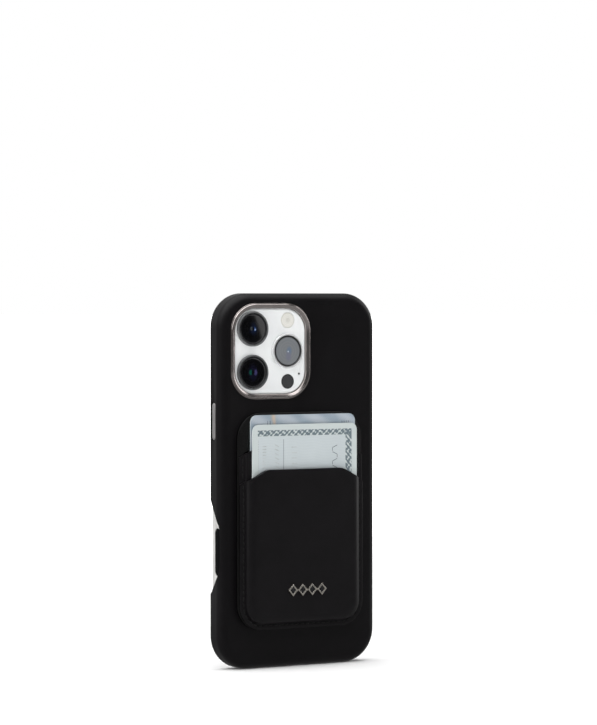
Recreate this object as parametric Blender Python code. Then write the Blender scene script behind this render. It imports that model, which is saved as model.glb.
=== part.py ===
"""Leather phone case with a magnetic card wallet, two cards and a phone in it.

The case stands on its bottom edge: +Z up, +X right as seen from behind, the back and the
wallet face -Y. Sizes below are in millimetres. A depth is measured from the back face of
the case: positive into the case, negative out towards the wallet.
"""
import math

import bmesh
import bpy
from mathutils import Vector

MM = 0.001

# Case
CASE_HALF_WIDTH = 40.3
CASE_HEIGHT = 166.0
CASE_THICKNESS = 10.7
CASE_CORNER = 15.0
BACK_ROUNDING = 4.0
FRONT_ROUNDING = 2.2
WALL = 1.5
LEATHER = 0.55
SHELL_OUT = 0.65
SHELL_BACK = 1.35
SHELL_IN = 1.35
SHELL_INNER_ROUNDING = 2.2
LIP_ANGLE = 118
LIP_IN = 1.3
LINING_FROM = 1.42
LINING_TO = 1.65

# Phone
PHONE_BACK = 1.85
PHONE_FRONT = 10.1
PHONE_BACK_EDGE = 1.8
PHONE_FRONT_EDGE = 0.5
BAND_WALL = 2.0
KEY_IN = 0.02
KEY_THICKNESS = 0.9
KEY_POCKET = 1.4

# Camera window, its bezel and the lenses
CAMERA_X = -14.8
CAMERA_Z = 140.4
BEZEL_HALF = (20.4, 21.2)
BEZEL_WIDTH = 2.25
BEZEL_CORNER = 12.4
BEZEL_PROUD = 0.95
PLATEAU_DEPTH = 0.5
LENS_PROUD = 0.8
LENS_RADIUS = 7.8
LENS_GLASS_RADIUS = 6.7
LENS_PLACES = ((-24.05, 150.3), (-24.05, 131.1), (-6.3, 140.4))
FLASH = (-5.75, 154.1, 3.4)
SENSOR = (-5.75, 126.9, 3.2)
MICROPHONE = (0.1, 130.3, 0.45)

# Buttons: side (-1 or +1 along X), centre height, length
BUTTONS = {
    "side": (-1, 109.6, 16.4),
    "action": (1, 131.5, 8.0),
    "volume_up": (1, 116.0, 11.0),
    "volume_down": (1, 101.5, 11.0),
}
BUTTON_DEPTH = 6.3
BUTTON_WIDTH = 3.0
BUTTON_GAP = 0.25
CONTROL_Z = 52.0
CONTROL_LENGTH = 21.0
CONTROL_WIDTH = 4.4
CONTROL_DEPTH = 5.4

# Magnets
MAGNET_Z = 83.0
MAGNET_OUTER = 27.5
MAGNET_INNER = 23.0
MAGNET_COUNT = 18
BAR_TOP = 52.0
BAR_LENGTH = 14.0
BAR_WIDTH = 5.0

# Wallet, with levels given as height above the back of the case
WALLET_X = -0.6
WALLET_HALF_WIDTH = 31.9
WALLET_BOTTOM = 17.3
WALLET_TOP = 113.4
WALLET_CORNER = 11.5
WALLET_BACK = (0.30, 0.80)
WALLET_CORE = (0.90, 1.75)
WALLET_GROOVE = 1.50
WALLET_MAGNETS = (0.95, 1.25)
SHIELD = (1.30, 1.45)
WALLET_LINING = (1.82, 2.00)
DIVIDER_FLANGE = (2.10, 2.55)
DIVIDER_RAISED = (3.00, 3.40)
FRONT_FLANGE = (2.65, 3.25)
FRONT_RAISED = (4.40, 6.50)
FRONT_TOP = 88.2
DIVIDER_TOP = 100.2
SHOULDER_START = 17.5
SHOULDER_EASE = 4.0
SHOULDER_SLOPE = 0.52

# Cards
CARD_HALF = (26.99, 42.8)
CARD_CORNER = 3.18
CARD_FRONT = (0.5, 108.1, 3.50, 4.26)
CARD_BACK = (0.35, 112.3, 2.10, 2.86)

# Emblem
STUD_COUNT = 4
STUD_PITCH = 4.95
STUD_HALF = (2.4, 2.8)
STUD_CENTRE = (-0.1, 34.7)
STUD_THICKNESS = 0.9

# Stitching
STITCH_PITCH = 2.7
STITCH_WIDTH = 0.55
STITCH_INSET = 2.0
STITCH_RISE = 0.3
SEAM_END = 1.2

ARC_STEPS = 8
GLUE = 0.1
WALLET_REACH = FRONT_RAISED[1] + GLUE + STUD_THICKNESS
LIP_DEPTH = CASE_THICKNESS - FRONT_ROUNDING * (1 - math.sin(math.radians(LIP_ANGLE)))
MIDDLE = (LIP_DEPTH - WALLET_REACH) / 2

CASE = (CASE_HALF_WIDTH, CASE_HEIGHT / 2, CASE_CORNER, 0.0, CASE_HEIGHT / 2)
PHONE = (CASE_HALF_WIDTH - WALL, CASE_HEIGHT / 2 - WALL, CASE_CORNER - WALL,
         0.0, CASE_HEIGHT / 2)
WALLET = (WALLET_HALF_WIDTH, (WALLET_TOP - WALLET_BOTTOM) / 2, WALLET_CORNER,
          WALLET_X, (WALLET_TOP + WALLET_BOTTOM) / 2)
BEZEL = (*BEZEL_HALF, BEZEL_CORNER, CAMERA_X, CAMERA_Z)


# ---------------------------------------------------------------- materials and objects

def material(name, colour, roughness, metallic=0.0, alpha=1.0):
    made = bpy.data.materials.new(name)
    made.use_nodes = True
    shader = made.node_tree.nodes["Principled BSDF"]
    shader.inputs["Base Color"].default_value = (*colour, 1.0)
    shader.inputs["Roughness"].default_value = roughness
    shader.inputs["Metallic"].default_value = metallic
    shader.inputs["Alpha"].default_value = alpha
    return made


def spot(x, depth, z):
    """World place in metres of a point given in millimetres."""
    return Vector((x * MM, (depth - MIDDLE) * MM, z * MM))


def finish(name, mesh_data, finish_material, origin=None):
    """Turn a bmesh into a named, smooth object, with its own place as origin."""
    bmesh.ops.recalc_face_normals(mesh_data, faces=mesh_data.faces)
    if origin is not None:
        bmesh.ops.translate(mesh_data, verts=mesh_data.verts, vec=-origin)
    mesh = bpy.data.meshes.new(name)
    mesh_data.to_mesh(mesh)
    mesh_data.free()
    mesh.shade_smooth()
    mesh.set_sharp_from_angle(angle=math.radians(38))
    obj = bpy.data.objects.new(name, mesh)
    bpy.context.collection.objects.link(obj)
    if origin is not None:
        obj.location = origin
    if finish_material is not None:
        mesh.materials.append(finish_material)
    return obj


def as_cutter(obj):
    obj.hide_render = True
    obj.display_type = "WIRE"
    return obj


def boolean(obj, operation, tools):
    for tool in tools:
        modifier = obj.modifiers.new(tool.name, "BOOLEAN")
        modifier.operation = operation
        modifier.solver = "EXACT"
        modifier.object = tool


def cut(obj, *cutters):
    boolean(obj, "DIFFERENCE", cutters)


# ---------------------------------------------------------------- outlines and solids

def outline(base, inset=0.0, corner=None):
    """Rounded rectangle in X and Z, moved in by inset, anticlockwise from the right."""
    half_x, half_z, radius, centre_x, centre_z = base
    half_x -= inset
    half_z -= inset
    radius = corner or max(radius - inset, 0.25)
    points = []
    for quarter in range(4):
        sign_x = 1 if quarter in (0, 3) else -1
        sign_z = 1 if quarter in (0, 1) else -1
        for step in range(ARC_STEPS + 1):
            angle = math.radians(90 * (quarter + step / ARC_STEPS))
            points.append((centre_x + sign_x * (half_x - radius) + radius * math.cos(angle),
                           centre_z + sign_z * (half_z - radius) + radius * math.sin(angle)))
    return points


def rounding(inset, depth, radius, start, end, steps=4):
    """Quarter-turn or less of a profile: pairs of inset and depth round a centre."""
    pairs = []
    for step in range(steps + 1):
        angle = math.radians(start + (end - start) * step / steps)
        pairs.append((inset + radius * math.cos(angle), depth + radius * math.sin(angle)))
    return pairs


def loft(name, base, profile, finish_material, ring=False):
    """Skin the outline of base through a profile of inset, depth and, if it has one, corner."""
    mesh_data = bmesh.new()
    loops = [[mesh_data.verts.new(spot(x, depth, z))
              for x, z in outline(base, inset, *corner)]
             for inset, depth, *corner in profile]
    pairs = list(zip(loops, loops[1:]))
    if ring:
        pairs.append((loops[-1], loops[0]))
    else:
        mesh_data.faces.new(loops[0])
        mesh_data.faces.new(loops[-1])
    for low, high in pairs:
        count = len(low)
        for index in range(count):
            after = (index + 1) % count
            mesh_data.faces.new((low[index], low[after], high[after], high[index]))
    return finish(name, mesh_data, finish_material)


def plate(name, base, depth_a, depth_b, edge, finish_material, inset=0.0):
    """Flat rounded-corner plate between two depths, with a small chamfer round it."""
    low, high = sorted((depth_a, depth_b))
    profile = [(inset + edge, low), (inset, low + edge), (inset, high - edge),
               (inset + edge, high)]
    return loft(name, base, profile, finish_material)


def prism(name, outline_points, place, finish_material=None, origin=None):
    """Solid between two ends: place(point, end) gives each corner's spot, end is 0 or 1."""
    mesh_data = bmesh.new()
    ends = [[mesh_data.verts.new(place(point, end)) for point in outline_points]
            for end in (0, 1)]
    mesh_data.faces.new(ends[0])
    mesh_data.faces.new(ends[1])
    count = len(outline_points)
    for index in range(count):
        after = (index + 1) % count
        mesh_data.faces.new((ends[0][index], ends[0][after], ends[1][after], ends[1][index]))
    return finish(name, mesh_data, finish_material, origin)


def stadium(centre_depth, centre_z, length, width, grow=0.0, steps=8):
    """Slot outline in depth and Z with half-round ends."""
    radius = width / 2 + grow
    straight = (length - width) / 2
    points = []
    for end in (1, -1):
        for step in range(steps + 1):
            angle = math.radians(180 * step / steps + (0 if end > 0 else 180))
            points.append((centre_depth + radius * math.cos(angle),
                           centre_z + end * straight + radius * math.sin(angle)))
    return points


def along_x(from_x, to_x):
    return lambda point, end: spot((from_x, to_x)[end], point[0], point[1])


def along_depth(from_depth, to_depth):
    return lambda point, end: spot(point[0], (from_depth, to_depth)[end], point[1])


def along_z(from_z, to_z):
    return lambda point, end: spot(point[0], point[1], (from_z, to_z)[end])


def circle(centre, radius, count=24, turn=0.0):
    return [(centre[0] + radius * math.cos(turn + 2 * math.pi * step / count),
             centre[1] + radius * math.sin(turn + 2 * math.pi * step / count))
            for step in range(count)]


def turned(name, centre, profile, finish_material, ring=False, count=32):
    """Round piece across the depth: profile holds pairs of radius and depth."""
    mesh_data = bmesh.new()
    loops = [[mesh_data.verts.new(spot(x, depth, z)) for x, z in circle(centre, size, count)]
             for size, depth in profile]
    pairs = list(zip(loops, loops[1:]))
    if ring:
        pairs.append((loops[-1], loops[0]))
    else:
        mesh_data.faces.new(loops[0])
        mesh_data.faces.new(loops[-1])
    for lower, upper in pairs:
        for index in range(count):
            after = (index + 1) % count
            mesh_data.faces.new((lower[index], lower[after], upper[after], upper[index]))
    return finish(name, mesh_data, finish_material)


def sector_points(centre, inner, outer, start, end, steps=3):
    """Outline of one magnet of a ring."""
    angles = [math.radians(start + (end - start) * step / steps) for step in range(steps + 1)]
    points = [(centre[0] + outer * math.cos(a), centre[1] + outer * math.sin(a))
              for a in angles]
    points += [(centre[0] + inner * math.cos(a), centre[1] + inner * math.sin(a))
               for a in reversed(angles)]
    return points


def group(name, outlines, place, finish_material):
    """Several equal prisms in one object, used to cut or to be joined to a base."""
    mesh_data = bmesh.new()
    for points in outlines:
        ends = [[mesh_data.verts.new(place(point, end)) for point in points]
                for end in (0, 1)]
        mesh_data.faces.new(ends[0])
        mesh_data.faces.new(ends[1])
        for index in range(len(points)):
            after = (index + 1) % len(points)
            mesh_data.faces.new((ends[0][index], ends[0][after],
                                 ends[1][after], ends[1][index]))
    return finish(name, mesh_data, finish_material)


# ---------------------------------------------------------------- cutters of the case

def notch_cutter():
    """Slanted opening in the side wall over the touch control, wider at its outside."""
    back, low_z, high_z, reach = 2.0, 42.6, 62.8, CASE_THICKNESS + 2
    turn = 2.2
    points = [(reach, high_z + 1.66 * (reach - back)), (back + 1.2, high_z + 2.0),
              (back + 0.3, high_z + 0.3), (back, high_z - turn), (back, low_z + 2 * turn),
              (back + 0.35, low_z + 1.0), (back + 1.2, low_z - 1.0),
              (reach, low_z - 1.0 - 1.4 * (reach - back - 1.2))]
    middle = (low_z + high_z) / 2

    def place(point, end):
        grow = (0.7, -0.15)[end]
        depth, z = point
        shift = grow if z > middle else -grow
        inner_depth = depth if depth > CASE_THICKNESS else depth - grow * 0.25
        return spot((-CASE_HALF_WIDTH - 1.5, -CASE_HALF_WIDTH + WALL + 0.6)[end],
                    inner_depth, z + shift)

    return as_cutter(prism("notch_cutter", points, place))


def button_cutters(name):
    """Slot for the cap through everything, and a wider one for the foot in the shell."""
    side, centre_z, length = BUTTONS[name]
    outer = CASE_HALF_WIDTH + 1.0
    inner = CASE_HALF_WIDTH - WALL - 0.6
    slot = prism(name + "_slot",
                 stadium(BUTTON_DEPTH, centre_z, length, BUTTON_WIDTH, BUTTON_GAP),
                 along_x(side * outer, side * inner))
    seat = prism(name + "_seat",
                 stadium(BUTTON_DEPTH, centre_z, length, BUTTON_WIDTH, BUTTON_GAP + 0.6),
                 along_x(side * (CASE_HALF_WIDTH - LEATHER - 0.05), side * inner))
    return as_cutter(slot), as_cutter(seat)


def port_cutters():
    """Openings in the bottom wall: the port and a row of sound holes each side."""
    depth = BUTTON_DEPTH - 0.3
    port = prism("port_opening", [(x, d) for d, x in stadium(depth, 0.0, 13.0, 6.4)],
                 along_z(-1.0, WALL + 0.6))
    cutters = [as_cutter(port)]
    for side in (-1, 1):
        holes = [circle((side * (10.5 + 2.8 * index), depth), 0.95, 10) for index in range(4)]
        cutters.append(as_cutter(group("sound_holes_left" if side < 0 else "sound_holes_right",
                                       holes, along_z(-1.0, WALL + 0.6), None)))
    return cutters


def magnet_outlines():
    """Outlines of the ring's magnets, all alike, with a small gap between them."""
    turn = 360 / MAGNET_COUNT
    return [sector_points((0.0, MAGNET_Z), MAGNET_INNER, MAGNET_OUTER,
                          turn * index + 1.5, turn * (index + 1) - 1.5)
            for index in range(MAGNET_COUNT)]


def magnet_array(name, depth_a, depth_b, finish_material):
    """Ring of magnets bonded on a thin yoke, which makes them one piece."""
    yoke = depth_b + (depth_a - depth_b) * 0.3
    array = turned(name, (0.0, MAGNET_Z),
                   [(MAGNET_INNER + 0.2, depth_b), (MAGNET_OUTER - 0.2, depth_b),
                    (MAGNET_OUTER - 0.2, yoke), (MAGNET_INNER + 0.2, yoke)],
                   finish_material, ring=True, count=54)
    magnets = group(name + "_segments", magnet_outlines(), along_depth(depth_a, depth_b), None)
    boolean(array, "UNION", [as_cutter(magnets)])


def bar_outline(grow=0.0):
    """Outline of the bar magnet under the ring, which keeps the wallet upright."""
    half = BAR_WIDTH / 2 + grow
    return [(-half, BAR_TOP + grow), (-half, BAR_TOP - BAR_LENGTH - grow),
            (half, BAR_TOP - BAR_LENGTH - grow), (half, BAR_TOP + grow)]


def magnet_cutters(name, depth_a, depth_b):
    groove = turned(name + "_groove", (0.0, MAGNET_Z),
                    [(MAGNET_INNER - 0.3, depth_a), (MAGNET_OUTER + 0.3, depth_a),
                     (MAGNET_OUTER + 0.3, depth_b), (MAGNET_INNER - 0.3, depth_b)],
                    None, ring=True, count=48)
    bar = prism(name + "_bar", bar_outline(0.3), along_depth(depth_a, depth_b))
    return as_cutter(bar), as_cutter(groove)


# ---------------------------------------------------------------- the case

def build_case():
    leather = material("case leather", (0.012, 0.011, 0.012), 0.45)
    plastic = material("shell plastic", (0.02, 0.02, 0.022), 0.5)
    suede = material("lining", (0.05, 0.05, 0.055), 0.9)
    steel = material("magnet metal", (0.55, 0.55, 0.56), 0.35, 1.0)
    bezel_metal = material("bezel metal", (0.38, 0.34, 0.33), 0.28, 1.0)

    back, front = BACK_ROUNDING, CASE_THICKNESS - FRONT_ROUNDING
    skin = loft("case_leather", CASE,
                rounding(back, back, back, 270, 180, 6)
                + rounding(FRONT_ROUNDING, front, FRONT_ROUNDING, 180, LIP_ANGLE)
                + [(LIP_IN, LIP_DEPTH - 0.2), (LIP_IN, LIP_DEPTH - 0.55)]
                + rounding(FRONT_ROUNDING, front, FRONT_ROUNDING - LEATHER, 130, 180, 3)
                + rounding(back, back, back - LEATHER, 180, 270, 6), leather)
    shell = loft("case_shell", CASE,
                 rounding(back, back, back - SHELL_OUT, 270, 180, 6)
                 + rounding(FRONT_ROUNDING, front, FRONT_ROUNDING - SHELL_OUT, 180, 140, 2)
                 + [(SHELL_IN, front + 1.0)]
                 + rounding(SHELL_IN + SHELL_INNER_ROUNDING, SHELL_BACK + SHELL_INNER_ROUNDING,
                            SHELL_INNER_ROUNDING, 180, 270, 5), plastic)
    lining = plate("case_lining", CASE, LINING_FROM, LINING_TO, 0.05, suede,
                   inset=SHELL_IN + SHELL_INNER_ROUNDING + 0.15)

    window = as_cutter(loft("leather_window", BEZEL, [(-0.2, -2.0), (-0.2, 3.0)], None))
    sleeve = as_cutter(loft("shell_window", BEZEL, [(1.35, -2.0), (1.35, 3.0)], None))
    notch = notch_cutter()
    bottom = port_cutters()
    cut(shell, *magnet_cutters("case_magnet", SHELL_OUT - 0.5, SHELL_OUT + 0.5))
    cut(skin, window, notch, *bottom)
    cut(shell, sleeve, notch, *bottom)
    cut(lining, sleeve)
    for name in BUTTONS:
        slot, seat = button_cutters(name)
        cut(skin, slot)
        cut(shell, seat)
    magnet_array("case_magnets", SHELL_OUT + 0.02, SHELL_OUT + 0.45, steel)
    prism("case_align_magnet", bar_outline(), along_depth(SHELL_OUT + 0.02, SHELL_OUT + 0.45),
          steel)
    top = BEZEL_PROUD
    loft("camera_ring", BEZEL,
         [(0.0, LEATHER), (0.0, -0.3 * top), (0.1, -0.4 * top), (0.32, -0.4 * top),
          (0.42, -0.76 * top), (0.6, -0.96 * top), (0.8, -top), (1.1, -0.9 * top),
          (2.05, -0.39 * top), (2.2, -0.25 * top),
          (BEZEL_WIDTH, 0.0), (BEZEL_WIDTH, SHELL_BACK - 0.1),
          (1.55, SHELL_BACK - 0.1), (1.55, LEATHER)], bezel_metal, ring=True)


def build_button(name, metal, plastic):
    """Metal cap in the leather and its plastic foot, which rests over the phone's key."""
    side, centre_z, length = BUTTONS[name]
    place = spot(side * CASE_HALF_WIDTH, BUTTON_DEPTH, centre_z)
    holder = bpy.data.objects.new(name + "_button_press", None)
    holder.location = place
    bpy.context.collection.objects.link(holder)
    pieces = (("_button", metal, ((-0.3, 0.0), (-0.08, 0.1), (0.0, 0.3), (0.0, 0.85))),
              ("_button_foot", plastic, ((0.55, 0.9), (0.55, 1.1), (-0.4, 1.1), (-0.4, 1.25))))
    for ending, look, profile in pieces:
        mesh_data = bmesh.new()
        loops = [[mesh_data.verts.new(spot(side * (CASE_HALF_WIDTH - inward), depth, z))
                  for depth, z in stadium(BUTTON_DEPTH, centre_z, length, BUTTON_WIDTH, grow)]
                 for grow, inward in profile]
        mesh_data.faces.new(loops[0])
        mesh_data.faces.new(loops[-1])
        for outer, inner in zip(loops, loops[1:]):
            for index in range(len(outer)):
                after = (index + 1) % len(outer)
                mesh_data.faces.new((outer[index], outer[after], inner[after], inner[index]))
        piece = finish(name + ending, mesh_data, look, place)
        piece.parent = holder
        piece.location = (0, 0, 0)


# ---------------------------------------------------------------- the phone

def build_phone():
    titanium = material("phone band", (0.70, 0.69, 0.66), 0.35, 1.0)
    sealed = material("phone inside", (0.08, 0.08, 0.09), 0.6)
    white = material("phone back glass", (0.86, 0.87, 0.87), 0.15)
    screen = material("display", (0.01, 0.01, 0.012), 0.06)
    ring_metal = material("lens ring", (0.30, 0.30, 0.31), 0.3, 1.0)
    lens = material("lens glass", (0.008, 0.008, 0.012), 0.04)
    cream = material("flash lens", (0.83, 0.80, 0.70), 0.3)
    dark = material("sensor window", (0.04, 0.04, 0.045), 0.2)
    black = material("touch control", (0.01, 0.01, 0.012), 0.08)

    back, front = PHONE_BACK, PHONE_FRONT
    edge, lip = PHONE_BACK_EDGE, PHONE_FRONT_EDGE
    band = loft("phone_band", PHONE,
                rounding(edge, back + edge, edge, 262, 180, 4)
                + rounding(lip, front - lip, lip, 180, 90, 2)
                + [(0.9, front), (0.9, front - 1.1), (BAND_WALL, front - 1.2),
                   (BAND_WALL, back + 0.1)], titanium, ring=True)
    plate("phone_core", PHONE, back + 0.9, front - 1.35, 0.2, sealed, inset=BAND_WALL + 0.2)
    plate("phone_back_glass", PHONE, back, back + 0.75, 0.1, white, inset=BAND_WALL + 0.15)
    plate("phone_display", PHONE, front - 0.95, front, 0.1, screen, inset=1.05)

    keys = {name: (side, centre_z, length - 2.0, BUTTON_WIDTH - 0.8, BUTTON_DEPTH)
            for name, (side, centre_z, length) in BUTTONS.items()}
    keys["camera_control"] = (-1, CONTROL_Z, CONTROL_LENGTH, CONTROL_WIDTH, CONTROL_DEPTH)
    half = PHONE[0]
    for name, (side, centre_z, length, width, depth) in keys.items():
        pocket = prism(name + "_pocket", stadium(depth, centre_z, length, width, 0.15),
                       along_x(side * (half + 1), side * (half - KEY_POCKET)))
        cut(band, as_cutter(pocket))
        node = name if name == "camera_control" else name + "_key"
        look = black if name == "camera_control" else titanium
        prism(node, stadium(depth, centre_z, length, width),
              along_x(side * (half - KEY_IN), side * (half - KEY_THICKNESS)), look,
              spot(side * half, depth, centre_z))

    port_depth = (back + front) / 2
    low = CASE_HEIGHT / 2 - PHONE[1]
    opening = prism("port_hole", [(x, d) for d, x in stadium(port_depth, 0.0, 9.4, 3.6)],
                    along_z(low - 1, low + BAND_WALL + 0.1))
    cut(band, as_cutter(opening))
    port = prism("charge_port", [(x, d) for d, x in stadium(port_depth, 0.0, 9.0, 3.2)],
                 along_z(low + 0.05, low + BAND_WALL), steel_of(titanium))
    bore = prism("port_bore", [(x, d) for d, x in stadium(port_depth, 0.0, 8.4, 2.6)],
                 along_z(low - 1, low + BAND_WALL - 0.3))
    cut(port, as_cutter(bore))

    plateau_base = (BEZEL_HALF[0] - BEZEL_WIDTH - 0.25, BEZEL_HALF[1] - BEZEL_WIDTH - 0.25,
                    BEZEL_CORNER - BEZEL_WIDTH - 0.25, CAMERA_X, CAMERA_Z)
    plateau = plate("camera_plateau", plateau_base, PLATEAU_DEPTH, back - GLUE, 0.3, white)
    for name, (x, z, radius), look in (("flash_lens", FLASH, cream),
                                       ("depth_sensor", SENSOR, dark),
                                       ("rear_microphone", MICROPHONE, dark)):
        seat = turned(name + "_seat", (x, z), [(radius + 0.15, PLATEAU_DEPTH - 1),
                                               (radius + 0.15, PLATEAU_DEPTH + 0.55)],
                      None, count=24)
        cut(plateau, as_cutter(seat))
        turned(name, (x, z), [(radius - 0.08, PLATEAU_DEPTH - 0.02),
                              (radius, PLATEAU_DEPTH + 0.06), (radius, PLATEAU_DEPTH + 0.5)],
               look, count=24)
    seat = PLATEAU_DEPTH - GLUE
    for number, (x, z) in enumerate(LENS_PLACES, 1):
        rim, inner = LENS_RADIUS, LENS_GLASS_RADIUS + 0.1
        turned("lens_ring_%d" % number, (x, z),
               [(rim, seat), (rim, -LENS_PROUD + 0.25), (rim - 0.25, -LENS_PROUD),
                (inner + 0.2, -LENS_PROUD), (inner, -LENS_PROUD + 0.2), (inner, seat)],
               ring_metal, ring=True)
        turned("lens_glass_%d" % number, (x, z),
               [(LENS_GLASS_RADIUS - 0.1, -LENS_PROUD + 0.3),
                (LENS_GLASS_RADIUS, -LENS_PROUD + 0.4), (LENS_GLASS_RADIUS, seat)], lens)


def steel_of(base):
    """Darker copy of a metal, for the inside of the port."""
    made = base.copy()
    made.name = "port steel"
    made.node_tree.nodes["Principled BSDF"].inputs["Base Color"].default_value = (
        0.25, 0.25, 0.26, 1.0)
    return made


# ---------------------------------------------------------------- the wallet

def mouth_drop(x):
    """How far a pocket's top edge falls below its middle at x from the wallet's centre."""
    beyond = abs(x) - SHOULDER_START
    if beyond <= 0:
        return 0.0
    if beyond < SHOULDER_EASE:
        return SHOULDER_SLOPE * beyond ** 2 / (2 * SHOULDER_EASE)
    return SHOULDER_SLOPE * (beyond - SHOULDER_EASE / 2)


def mouth_cutter(name, top):
    """Block above a pocket's shaped mouth."""
    reach = WALLET_HALF_WIDTH + 2
    across = [reach * (2 * step / 36 - 1) for step in range(37)]
    points = [(WALLET_X + x, top - mouth_drop(x)) for x in across]
    points += [(WALLET_X + reach, WALLET_TOP + 5), (WALLET_X - reach, WALLET_TOP + 5)]
    return as_cutter(prism(name, points, along_depth(-1.0, -WALLET_REACH - 1)))


def up(levels):
    """Profile given as inset and height above the case's back, turned into depths."""
    return [(inset, -height, *corner) for inset, height, *corner in levels]


def seam_place(run, half_x, low, radius, top):
    """Point and direction on the left half of a seam, run along it from its top end."""
    side = top - low - radius
    turn = math.pi / 2 * radius
    if run < side:
        return -half_x, top - run, -math.pi / 2
    if run < side + turn:
        angle = math.pi + (run - side) / radius
        return (-half_x + radius + radius * math.cos(angle),
                low + radius + radius * math.sin(angle), angle + math.pi / 2)
    return -half_x + radius + run - side - turn, low, 0.0


def seam(name, top, length, height, finish_material, mirrored_half=False):
    """One running thread: it stands up at each stitch and dips between two."""
    half_x = WALLET_HALF_WIDTH - STITCH_INSET
    low = WALLET_BOTTOM + STITCH_INSET
    radius = WALLET_CORNER - STITCH_INSET
    full = 2 * (top - low - radius + math.pi / 2 * radius + half_x - radius)
    total = length or full
    count = max(int(total / STITCH_PITCH), 1)
    mesh_data = bmesh.new()
    loops = []
    for index in range(count):
        for step, rise in ((0.06, 0.08), (0.2, STITCH_RISE), (0.74, STITCH_RISE),
                           (0.88, 0.08)):
            along = (index + step) * total / count
            mirrored = along > full / 2
            run = full - along if mirrored else along
            x, z, angle = seam_place(run, half_x, low, radius, top)
            if mirrored:
                x, angle = -x, -angle
            if mirrored_half:
                x, angle = -x, math.pi - angle
            width = STITCH_WIDTH / 2 if rise == STITCH_RISE else STITCH_WIDTH / 5
            side_x, side_z = -math.sin(angle) * width, math.cos(angle) * width
            loops.append([mesh_data.verts.new(spot(WALLET_X + x + sign * side_x,
                                                   -height - level, z + sign * side_z))
                          for sign, level in ((1, 0), (1, rise), (-1, rise), (-1, 0))])
    mesh_data.faces.new(loops[0])
    mesh_data.faces.new(loops[-1])
    for lower, upper in zip(loops, loops[1:]):
        for corner in range(4):
            after = (corner + 1) % 4
            mesh_data.faces.new((lower[corner], lower[after], upper[after], upper[corner]))
    return finish(name, mesh_data, finish_material)


def lozenge(name, index, profile, finish_material, ring=False):
    """One lozenge of the emblem, or its inlay: profile holds scale and height."""
    centre_x = STUD_CENTRE[0] + STUD_PITCH * (index - (STUD_COUNT - 1) / 2)
    mesh_data = bmesh.new()
    loops = [[mesh_data.verts.new(spot(centre_x + STUD_HALF[0] * size * x, -height,
                                       STUD_CENTRE[1] + STUD_HALF[1] * size * z))
              for x, z in ((1, 0), (0, 1), (-1, 0), (0, -1))]
             for size, height in profile]
    pairs = list(zip(loops, loops[1:]))
    if ring:
        pairs.append((loops[-1], loops[0]))
    else:
        mesh_data.faces.new(loops[0])
        mesh_data.faces.new(loops[-1])
    for lower, upper in pairs:
        for corner in range(4):
            after = (corner + 1) % 4
            mesh_data.faces.new((lower[corner], lower[after], upper[after], upper[corner]))
    return finish(name, mesh_data, finish_material)


def build_badge(metal, enamel):
    """A rail on the front pocket that carries four framed lozenges."""
    base = FRONT_RAISED[1] + GLUE
    tip = base + STUD_THICKNESS
    half = STUD_PITCH * (STUD_COUNT - 1) / 2 + 1.5
    x, z = STUD_CENTRE
    rail = prism("badge_rail", [(x - half, z - 0.5), (x + half, z - 0.5),
                                (x + half, z + 0.5), (x - half, z + 0.5)],
                 along_depth(-base, -base - 0.25), metal)
    frames = []
    for index in range(STUD_COUNT):
        frames.append(as_cutter(lozenge(
            "badge_frame_%d" % (index + 1), index,
            [(1.0, base), (1.0, tip - 0.25), (0.9, tip), (0.66, tip), (0.6, tip - 0.2),
             (0.6, base)], None, ring=True)))
        lozenge("badge_inlay_%d" % (index + 1), index,
                [(0.5, base + 0.3), (0.5, tip - 0.3)], enamel)
    boolean(rail, "UNION", frames)


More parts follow.
